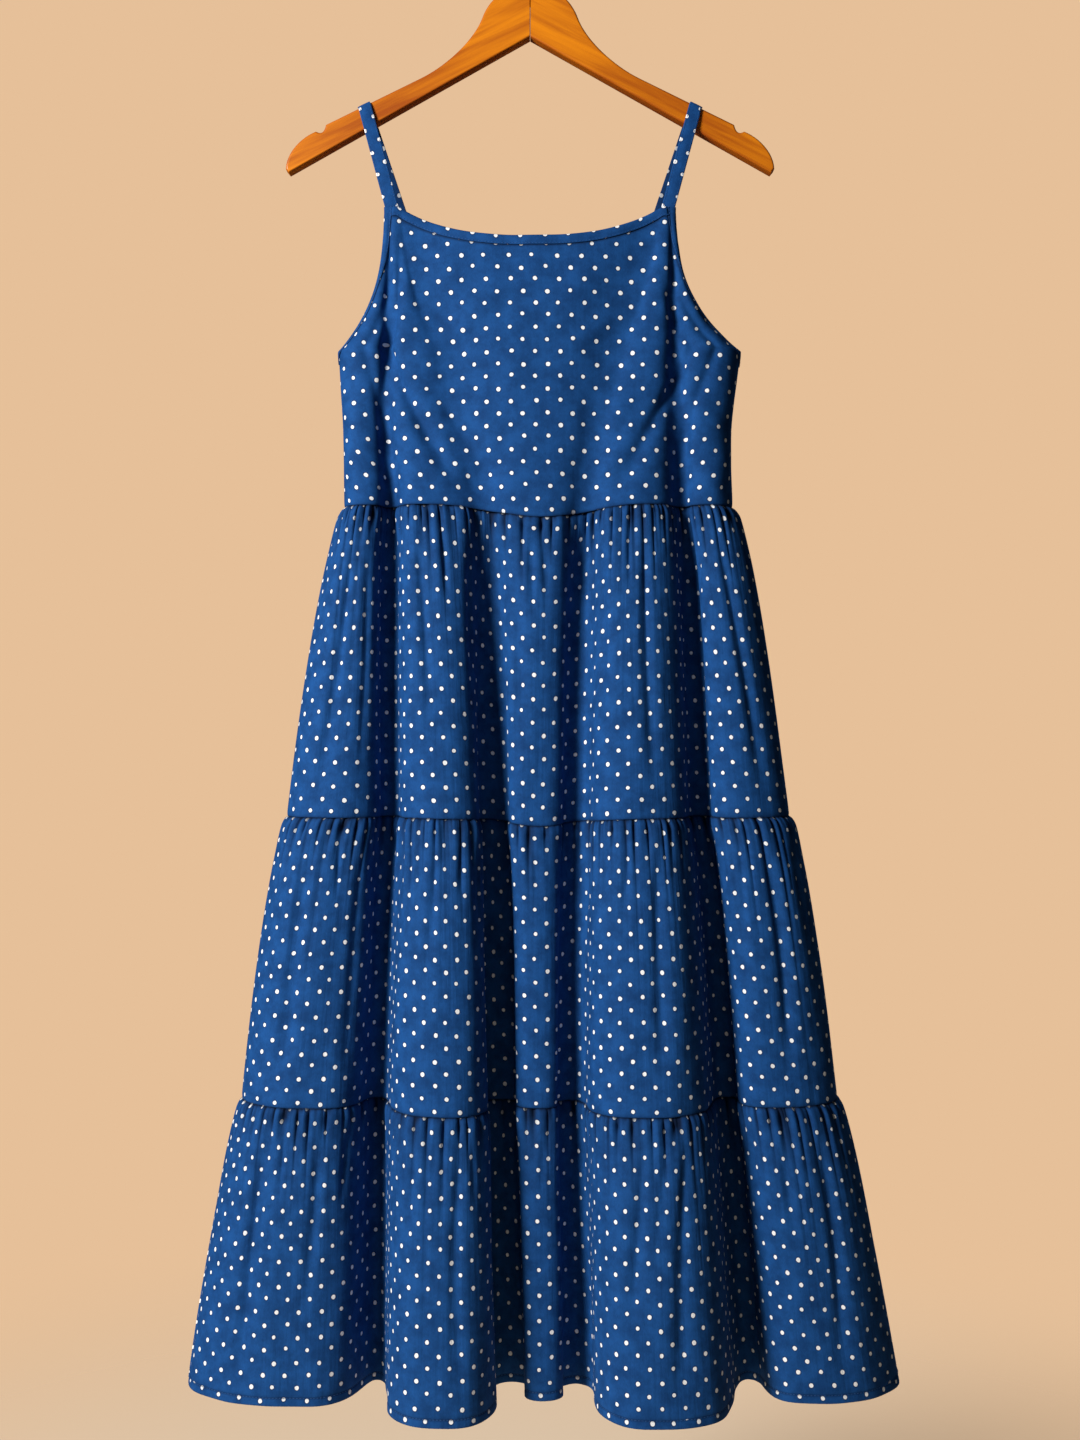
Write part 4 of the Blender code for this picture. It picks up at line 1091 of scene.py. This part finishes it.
def strap(name, side, material):
    path = strand_path(FRONT)[::-1] + strand_path(BACK)[1:]
    (run, rise), _ = arm_directions()
    slope = Vector((run, 0.0, rise))
    points, cloth = [], []
    edges = [[], []]
    length = 0.0
    last = len(path) - 1
    for i, here in enumerate(path):
        length += (here - path[max(i - 1, 0)]).length
        along = (path[min(i + 1, last)] - path[max(i - 1, 0)]).normalized()
        across = (slope - along * slope.dot(along)).normalized()
        out = across.cross(along).normalized()
        ring, flat = [], []
        for w, h in RIBBON:
            p = here + across * (w * STRAP_WIDTH / 2) + out * (h * STRAP_WALL / 2)
            ring.append((side * p.x, p.y, p.z))
            flat.append((w * STRAP_WIDTH / 2 + STRAP_PRINT_SHIFT, length))
        points.append(ring)
        cloth.append(flat)
        for edge, w in zip(edges, (-STRAP_STITCH, STRAP_STITCH)):
            p = here + across * (w * STRAP_WIDTH / 2) + out * (STRAP_STITCH_HEIGHT * STRAP_WALL / 2)
            edge.append((side * p.x, p.y, p.z))
    # painted shade over the strap's inner face
    shade = [STRAP_INNER_PAINTED_SHADE if h < 0 else 0.0 for _, h in RIBBON] * len(points)
    return tube_mesh(name, np.array(points), np.array(cloth), material, shade), edges


def arm_outline():
    """The outline of the arm on the right, from the mitre's top round to its foot."""
    centre_z = HANGER_TOP_Z - HANGER_NECK_RADIUS
    outline = [(MITRE_GAP / 2, HANGER_TOP_Z)]
    for degrees in NECK_STEPS_DEG:
        angle = math.radians(degrees)
        x = HANGER_NECK_RADIUS * math.cos(angle)
        outline.append((x, centre_z + HANGER_NECK_RADIUS * math.sin(angle)))
    start = outline[-1]
    turn = math.radians(HANGER_NECK_END_DEG)
    (run, rise), _ = arm_directions()
    x0, z0 = HANGER_SHOULDER
    handle_1 = (start[0] + NECK_HANDLE * math.sin(turn), start[1] - NECK_HANDLE * math.cos(turn))
    handle_2 = (x0 - NECK_HANDLE * run, z0 - NECK_HANDLE * rise)
    for corners, first, last, steps in (
        ((start, handle_1, handle_2, HANGER_SHOULDER), 1, 18, 18),
        (HANGER_NOTCH, 0, 7, 8),
        ((HANGER_NOTCH[-1], *HANGER_NOSE, HANGER_TIP), 0, 12, 12),
    ):
        corners = np.array(corners)
        outline += [bezier(corners, k / steps).tolist() for k in range(first, last + 1)]
    outline.append(HANGER_TIP_BOTTOM)
    outline.append((MITRE_GAP / 2, HANGER_APEX_Z))
    return outline


def inset(outline, amount):
    """The outline moved into the wood, but for its ends on the mitre."""
    moved = []
    count = len(outline)
    for i, (x, z) in enumerate(outline):
        total = Vector((0.0, 0.0))
        for a, b in ((outline[i - 1], (x, z)), ((x, z), outline[(i + 1) % count])):
            total += Vector((b[1] - a[1], a[0] - b[0])).normalized()
        size = total.length
        total = total.normalized() * min(2.0 / max(size, 1e-6), LONGEST_MITRE) * amount
        moved.append((x + total.x, z + total.y))
    for i, way in ((0, -1), (-1, 1)):
        moved[i] = (outline[i][0] + min(amount, MITRE_CHAMFER), outline[i][1] + way * amount)
    return moved


def hanger_arm(name, side, material):
    """One wooden arm with rounded edges. Its grain and its edges are attributes."""
    outline = arm_outline()
    half = HANGER_THICKNESS / 2
    rings = [(-half, HANGER_EDGE_ROUND + FLAT_MARGIN), (-half, HANGER_EDGE_ROUND)]
    for k in range(1, EDGE_STEPS + 1):
        angle = math.pi / 2 * k / EDGE_STEPS
        rings.append((-half + HANGER_EDGE_ROUND * (1 - math.cos(angle)),
                      HANGER_EDGE_ROUND * (1 - math.sin(angle))))
    rings += [(-y, amount) for y, amount in reversed(rings)]
    points, rims = [], []
    for y, amount in rings:
        points += [(side * x, y, z) for x, z in inset(outline, amount)]
        rims += [max(1.0 - amount / HANGER_EDGE_ROUND, 0.0)] * len(outline)
    around = len(outline)
    faces = [tuple(range(around)), tuple(range(len(points) - 1, len(points) - around - 1, -1))]
    for i in range(len(rings) - 1):
        for k in range(around):
            n = (k + 1) % around
            a, b = i * around, (i + 1) * around
            faces.append((a + k, a + n, b + n, b + k))
    mesh = bpy.data.meshes.new(name)
    mesh.from_pydata(points, [], faces)
    (run, rise), _ = arm_directions()
    mesh.attributes.new("grain", "FLOAT_VECTOR", "POINT")
    places = []
    for x, y, z in points:
        x *= side
        places += [x * run + z * rise + GRAIN_SHIFT * side, y, -x * rise + z * run]
    mesh.attributes["grain"].data.foreach_set("vector", places)
    mark_points(mesh, "rim", rims)
    piece = add_object(name, mesh, material)
    face_outwards(piece)
    piece.data.set_sharp_from_angle(angle=math.radians(SHARP_ANGLE_DEG))
    return piece


def hook_path():
    """The wire's centre line, from its free tip over the top and down into the wood."""
    radius = HOOK_INNER_RADIUS + HOOK_WIRE_RADIUS
    path = []
    for k in range(HOOK_STEPS + 1):
        angle = math.radians(mix(HOOK_TIP_DEG, HOOK_SHANK_DEG, k / HOOK_STEPS))
        path.append((radius * math.cos(angle), radius * math.sin(angle) - HOOK_INNER_RADIUS))
    lean = math.radians(-HOOK_SHANK_DEG)
    bend_x = HOOK_BEND_RADIUS * (1 - math.cos(lean))
    straight = (path[-1][0] - bend_x) / math.sin(lean)
    start_z = path[-1][1] - straight * math.cos(lean)
    for k in range(HOOK_BEND_STEPS + 1):
        angle = mix(lean, 0.0, k / HOOK_BEND_STEPS)
        x = HOOK_BEND_RADIUS * (1 - math.cos(angle))
        path.append((x, start_z - HOOK_BEND_RADIUS * (math.sin(lean) - math.sin(angle))))
    path.append((0.0, HANGER_TOP_Z - HOOK_SHANK_DEPTH))
    return path


def hook(name, material):
    path = np.array(hook_path())
    tangent = np.gradient(path, axis=0)
    tangent /= np.hypot(*tangent.T)[:, None]
    points, ends = [], []
    for k in range(HOOK_TIP_RINGS):
        angle = math.pi / 2 * (1 - k / HOOK_TIP_RINGS)
        ends.append((-HOOK_WIRE_RADIUS * math.sin(angle), math.cos(angle)))
    stations = [(path[0] + tangent[0] * back, tangent[0], scale) for back, scale in ends]
    stations += [(p, v, 1.0) for p, v in zip(path, tangent)]
    turn = 2 * math.pi * np.arange(HOOK_SIDES) / HOOK_SIDES
    for place, direction, scale in stations:
        radius = HOOK_WIRE_RADIUS * max(scale, HOOK_TIP_SCALE)
        side = radius * np.cos(turn)
        points.append(np.stack([place[0] - direction[1] * side, radius * np.sin(turn),
                                place[1] + direction[0] * side], axis=-1))
    return tube_mesh(name, np.array(points), np.zeros((len(points), HOOK_SIDES, 2)), material)


class Nodes:
    """A short way to build a material's tree."""

    def __init__(self, name):
        self.material = bpy.data.materials.new(name)
        self.material.use_nodes = True
        self.tree = self.material.node_tree
        self.shader = self.tree.nodes["Principled BSDF"]

    def add(self, kind, inputs=(), **settings):
        return add_node(self.tree, kind, inputs, **settings)

    def math(self, operation, a, b=0.0, c=0.0):
        return self.add("ShaderNodeMath", {0: a, 1: b, 2: c}, operation=operation).outputs[0]

    def vector(self, operation, a, b=(0.0, 0.0, 0.0), scale=1.0):
        node = self.add("ShaderNodeVectorMath", {0: a, 1: b, 3: scale}, operation=operation)
        return node.outputs[1 if operation == "LENGTH" else 0]

    def noise(self, place, scale, detail, stretch=None, **more):
        if stretch:
            place = self.vector("MULTIPLY", place, stretch)
        inputs = {"Vector": place, "Scale": scale, "Detail": detail, **more}
        return self.add("ShaderNodeTexNoise", inputs).outputs[0]

    def bump(self, height, strength, distance, **more):
        inputs = {"Height": height, "Strength": strength, "Distance": distance, **more}
        return self.add("ShaderNodeBump", inputs).outputs[0]

    def blend(self, share, a, b):
        node = self.add("ShaderNodeMix", {0: share}, data_type="RGBA")
        sockets = {socket.identifier: socket for socket in (*node.inputs, *node.outputs)}
        feed(self.tree, sockets["A_Color"], a)
        feed(self.tree, sockets["B_Color"], b)
        return sockets["Result_Color"]

    def ramp(self, value, low, high):
        node = self.add("ShaderNodeMapRange", {0: value, 1: low, 2: high})
        node.interpolation_type = "SMOOTHSTEP"
        return node.outputs[0]

    def set(self, **inputs):
        for key, value in inputs.items():
            feed(self.tree, self.shader.inputs[key.replace("_", " ")], value)


def cotton(name, streaks):
    """Blue woven cotton with a print of white dots, a painted shadow rim round each dot, and
    painted shade where it is sewn and in its gathers' troughs.
    """
    n = Nodes(name)
    uv = n.add("ShaderNodeUVMap", uv_map="cloth").outputs[0]
    turned = n.add("ShaderNodeMapping", {
        "Vector": uv, "Rotation": (0, 0, math.radians(DOT_TURN_DEG)), "Scale": (1 / DOT_PITCH,) * 3,
    }).outputs[0]
    cell = n.vector("FLOOR", turned)
    shift = n.add("ShaderNodeTexWhiteNoise", {"Vector": cell}, noise_dimensions="2D")
    middle = n.vector("ADD", cell, (0.5, 0.5, 0.0))
    jitter = n.vector("SCALE", n.vector("SUBTRACT", shift.outputs["Color"], (0.5, 0.5, 0.5)),
                      scale=2 * DOT_JITTER / DOT_PITCH)
    offset = n.vector("MULTIPLY", n.vector("SUBTRACT", turned, n.vector("ADD", middle, jitter)),
                      (1.0, 1.0, 0.0))
    wobble = n.math("SUBTRACT", n.noise(uv, 420.0, 1.0), 0.5)
    distance = n.math("ADD", n.vector("LENGTH", offset), n.math("MULTIPLY", wobble, 0.05))
    size = n.math("MULTIPLY_ADD", shift.outputs["Value"], 2 * DOT_RADIUS_SPREAD,
                  DOT_RADIUS / DOT_PITCH - DOT_RADIUS_SPREAD)
    edge = n.math("SUBTRACT", distance, size)
    dots = n.math("SUBTRACT", 1.0, n.ramp(edge, -0.008, 0.010))
    # painted shadow rim round each dot
    rim = n.math("SUBTRACT", 1.0, n.ramp(edge, 0.012, 0.095))
    patch = n.noise(uv, 55.0, 4.0, Roughness=0.62)
    slub = n.noise(uv, 1.0, 2.0, (2600.0, 420.0, 1.0))
    tone = n.math("ADD", n.math("MULTIPLY", patch, 0.9), n.math("MULTIPLY", slub, 0.4))
    blue = n.blend(n.ramp(tone, 0.40, 0.90), CLOTH_BLUE, CLOTH_BLUE_LIGHT)
    blue = n.blend(n.math("MULTIPLY", rim, 0.80), blue, CLOTH_SHADE)
    # painted shade: the line attribute darkens the colour at seams, gather troughs, the hem,
    # binding edges and the strap's inner face
    line = n.add("ShaderNodeAttribute", attribute_name="line").outputs["Fac"]
    colour = n.blend(n.math("MULTIPLY", line, 0.92), n.blend(dots, blue, DOT_WHITE), CLOTH_PAINTED_SHADE)
    wrinkle = n.bump(n.noise(uv, 1.0, 3.0, (170.0, 13.0, 1.0)), streaks, 0.0016)
    threads = {"Vector": uv, "Scale": 640.0, "Distortion": 0.6, "Detail": 1.0, "Detail Scale": 2.0}
    warp, weft = (
        n.add("ShaderNodeTexWave", threads, bands_direction=way).outputs[1] for way in "XY"
    )
    weave = n.math("MULTIPLY", warp, weft)
    height = n.math("ADD", n.math("MULTIPLY", weave, 0.5), n.math("MULTIPLY", slub, 0.5))
    n.set(Base_Color=colour, Roughness=0.82, Normal=n.bump(height, 0.35, 0.00025, Normal=wrinkle),
          Sheen_Weight=0.05, Sheen_Roughness=0.45, Sheen_Tint=CLOTH_SHEEN,
          Specular_IOR_Level=0.15)
    return n.material


def thread():
    n = Nodes("blue_sewing_thread")
    twist = n.noise(n.add("ShaderNodeTexCoord").outputs["Object"], 2400.0, 2.0)
    n.set(Base_Color=n.blend(n.ramp(twist, 0.3, 0.7), THREAD_DARK, THREAD_LIGHT),
          Roughness=0.6, Normal=n.bump(twist, 0.3, 0.0001))
    return n.material


def wood():
    """Varnished wood with its grain along the arm, darker at the edges, with painted shade in
    mid-arm.
    """
    n = Nodes("honey_wood_varnished")
    grain = n.add("ShaderNodeAttribute", attribute_name="grain").outputs["Vector"]
    rim = n.add("ShaderNodeAttribute", attribute_name="rim").outputs["Fac"]
    streak = n.noise(grain, 1.0, 3.0, (7.0, 60.0, 110.0), Roughness=0.60, Distortion=0.4)
    fine = n.noise(grain, 1.0, 2.0, (24.0, 90.0, 320.0))
    tone = n.math("ADD", streak, n.math("MULTIPLY", fine, 0.30))
    tone = n.math("SUBTRACT", tone, n.math("MULTIPLY", rim, 0.30))
    place = n.add("ShaderNodeTexCoord").outputs["Object"]
    out = n.vector("LENGTH", n.vector("MULTIPLY", place, (1.0, 0.0, 0.0)))
    # painted shade: darker in mid-arm, none at the neck and the tips
    middle = n.math("SUBTRACT", n.ramp(out, 0.02, 0.13), n.ramp(out, 0.15, 0.215))
    tone = n.math("SUBTRACT", tone, n.math("MULTIPLY", middle, 0.20))
    n.set(Base_Color=n.blend(n.ramp(tone, 0.15, 1.00), WOOD_DARK, WOOD_LIGHT), Roughness=0.45,
          Normal=n.bump(fine, 0.06, 0.0004), Coat_Weight=0.16, Coat_Roughness=0.15,
          Specular_IOR_Level=0.25)
    return n.material


def steel():
    n = Nodes("polished_steel_wire")
    mark = n.noise(n.add("ShaderNodeTexCoord").outputs["Object"], 900.0, 3.0)
    n.set(Base_Color=STEEL, Metallic=1.0, Roughness=0.22, Normal=n.bump(mark, 0.06, 0.0001))
    return n.material


def studio():
    """Pale floor, soft light from the upper left, and the camera."""
    scene = bpy.context.scene
    scene.view_settings.view_transform = "Standard"
    world = bpy.data.worlds.new("studio")
    scene.world = world
    world.use_nodes = True
    tree = world.node_tree
    seen = tree.nodes["Background"]
    seen.inputs[0].default_value = BACKGROUND
    around = tree.nodes.new("ShaderNodeBackground")
    around.inputs[0].default_value = ROOM
    around.inputs[1].default_value = ROOM_LIGHT
    ray = tree.nodes.new("ShaderNodeLightPath")
    both = tree.nodes.new("ShaderNodeMixShader")
    tree.links.new(ray.outputs["Is Camera Ray"], both.inputs[0])
    tree.links.new(around.outputs[0], both.inputs[1])
    tree.links.new(seen.outputs[0], both.inputs[2])
    tree.links.new(both.outputs[0], tree.nodes["World Output"].inputs[0])
    for name, settings in LAMPS.items():
        lamp(name, *settings)
    floor()
    camera = bpy.data.cameras.new("camera")
    camera.lens = CAMERA_LENS
    camera.sensor_width = CAMERA_SENSOR
    camera.clip_start = 0.01
    holder = put_in_scene("camera", camera)
    holder.location = CAMERA_PLACE
    holder.rotation_euler = (math.radians(90), 0.0, 0.0)
    scene.camera = holder


def lamp(name, place, target, size, power, colour):
    light = bpy.data.lights.new(name, "AREA")
    light.shape = "DISK"
    light.size = size
    light.energy = power
    light.color = colour
    holder = put_in_scene(name, light)
    holder.location = place
    holder.visible_glossy = name == "key_light"
    aim = Vector(target) - Vector(place)
    holder.rotation_euler = aim.to_track_quat("-Z", "Y").to_euler()


def floor():
    """A pale round floor that fades into the backdrop's colour at its rim."""
    made = bmesh.new()
    bmesh.ops.create_circle(made, cap_ends=True, segments=FLOOR_SIDES, radius=FLOOR_RADIUS)
    bmesh.ops.translate(made, verts=made.verts, vec=(0.0, 0.0, FLOOR_Z))
    mesh = bpy.data.meshes.new("floor")
    made.to_mesh(mesh)
    made.free()
    n = Nodes("pale_floor")
    place = n.add("ShaderNodeTexCoord").outputs["Object"]
    flat = n.vector("LENGTH", n.vector("MULTIPLY", place, (1.0, 1.0, 0.0)))
    n.set(Base_Color=FLOOR, Roughness=0.9,
          Alpha=n.math("SUBTRACT", 1.0, n.ramp(flat, FLOOR_FADE_FROM, FLOOR_RADIUS)))
    made = add_object("floor", mesh, n.material)
    made.visible_glossy = False


def place_piece(piece, slot, *nodes):
    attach(piece, "root")
    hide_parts(*nodes)


def lifted(line, outs, height):
    return np.asarray(line) + np.asarray(outs) * height


def row_normals(row, facing):
    """Outward directions along a row of points, level with the floor."""
    plan = np.stack([row[:, 0], facing * row[:, 1]], axis=-1)
    normals = plan_normals(plan)
    return np.stack([normals[:, 0], facing * normals[:, 1], 0 * row[:, 2]], axis=-1)


def crossing_line(lines, outs):
    """The binding's stitch line, on its outside, across the given crossings."""
    return np.array([
        lifted(point_along(line, BINDING_STITCH), point_along(out, BINDING_STITCH),
               BINDING_STITCH_HEIGHT)
        for line, out in zip(lines, outs)
    ])


def dress():
    cloth_material = cotton("dotted_cotton_cloth", 0.20)
    gathered_material = cotton("dotted_cotton_gathered", 0.50)
    thread_material = thread()
    tree, sockets = stitch_tree()

    def sew(name, lines, *nodes):
        piece = stitches(name, tree, sockets, lines, thread_material)
        place_piece(piece, "dotted_cotton", *nodes)
        return piece

    sides, panels, sewn_on = {}, {}, {}
    for facing, side_name, skirt, folds in (
        (FRONT, "front", SKIRT_FRONT, BODICE_FRONT),
        (BACK, "back", SKIRT_BACK, BODICE_BACK),
    ):
        bodice = Bodice(folds, skirt)
        points, outward, cloth, shade = bodice_grid(bodice, facing)
        sides[facing] = (bodice, points, outward)
        node = f"bodice_{side_name}"
        piece = grid_mesh(f"{node}_cloth", points, cloth, shade, facing, cloth_material)
        give_wall(piece)
        place_piece(piece, "dotted_cotton", node)
        start, stop = BAND_COLUMNS, points.shape[1] - 1 - BAND_COLUMNS
        rows = points[: BAND_ROWS + 1, start : stop + 1]
        outs = outward[: BAND_ROWS + 1, start : stop + 1]
        lines = [rows[:, c] for c in range(rows.shape[1])]
        out_lines = [outs[:, c] for c in range(rows.shape[1])]
        node = f"neck_band_{side_name}"
        band = binding(f"neck_binding_{side_name}", lines, out_lines,
                       cloth[0, start : stop + 1, 0], cloth_material)
        place_piece(band, "dotted_cotton", node)
        sewn = sew(f"neck_stitches_{side_name}", [crossing_line(lines, out_lines)], node)
        panels[facing] = piece
        sewn_on[facing] = [band, sewn]
        for tier in TIERS:
            gathers = tier.front_gathers if facing == FRONT else tier.back_gathers
            seed = 1.7 * len(tier.bottom) + facing
            grid, flat, shade = tier_grid(tier, skirt, facing, gathers, seed)
            node = f"{tier.name}_{side_name}"
            piece = grid_mesh(f"{node}_cloth", grid, flat, shade, facing, gathered_material)
            give_wall(piece)
            place_piece(piece, "dotted_cotton", node)
            hem = []
            if tier.bottom == "hem":
                row = grid[HEM_STITCH_ROW, 1:-1]
                line = lifted(row, row_normals(row, facing), WALL / 2 + THREAD_RADIUS / 2)
                hem = [sew(f"hem_stitches_{side_name}", [line], node)]
    for end, hand in ((0, "left"), (-1, "right")):
        lines, outs = armhole_crossings(sides, end)
        steps = [0.0] + [float(np.linalg.norm(b[0] - a[0])) for a, b in zip(lines, lines[1:])]
        node = f"armhole_band_{hand}"
        piece = binding(f"armhole_binding_{hand}", lines, outs, np.cumsum(steps), cloth_material)
        place_piece(piece, "dotted_cotton", node)
        sewn = sew(f"armhole_stitches_{hand}", [crossing_line(lines, outs)], node)
        sewn_on[FRONT] += [piece, sewn]
    for side, hand in ((-1, "left"), (1, "right")):
        node = f"strap_{hand}"
        piece, edges = strap(f"{node}_ribbon", side, cloth_material)
        place_piece(piece, "dotted_cotton", node)
        sewn = sew(f"{node}_stitches", edges, node)


def hanger():
    wood_material = wood()
    for side, hand in ((-1, "left"), (1, "right")):
        piece = hanger_arm(f"hanger_arm_{hand}_wood", side, wood_material)
        place_piece(piece, "honey_wood", f"hanger_arm_{hand}")
    piece = hook("hanger_hook_wire", steel())
    place_piece(piece, "polished_steel", "hanger_hook")


studio()
hanger()
dress()
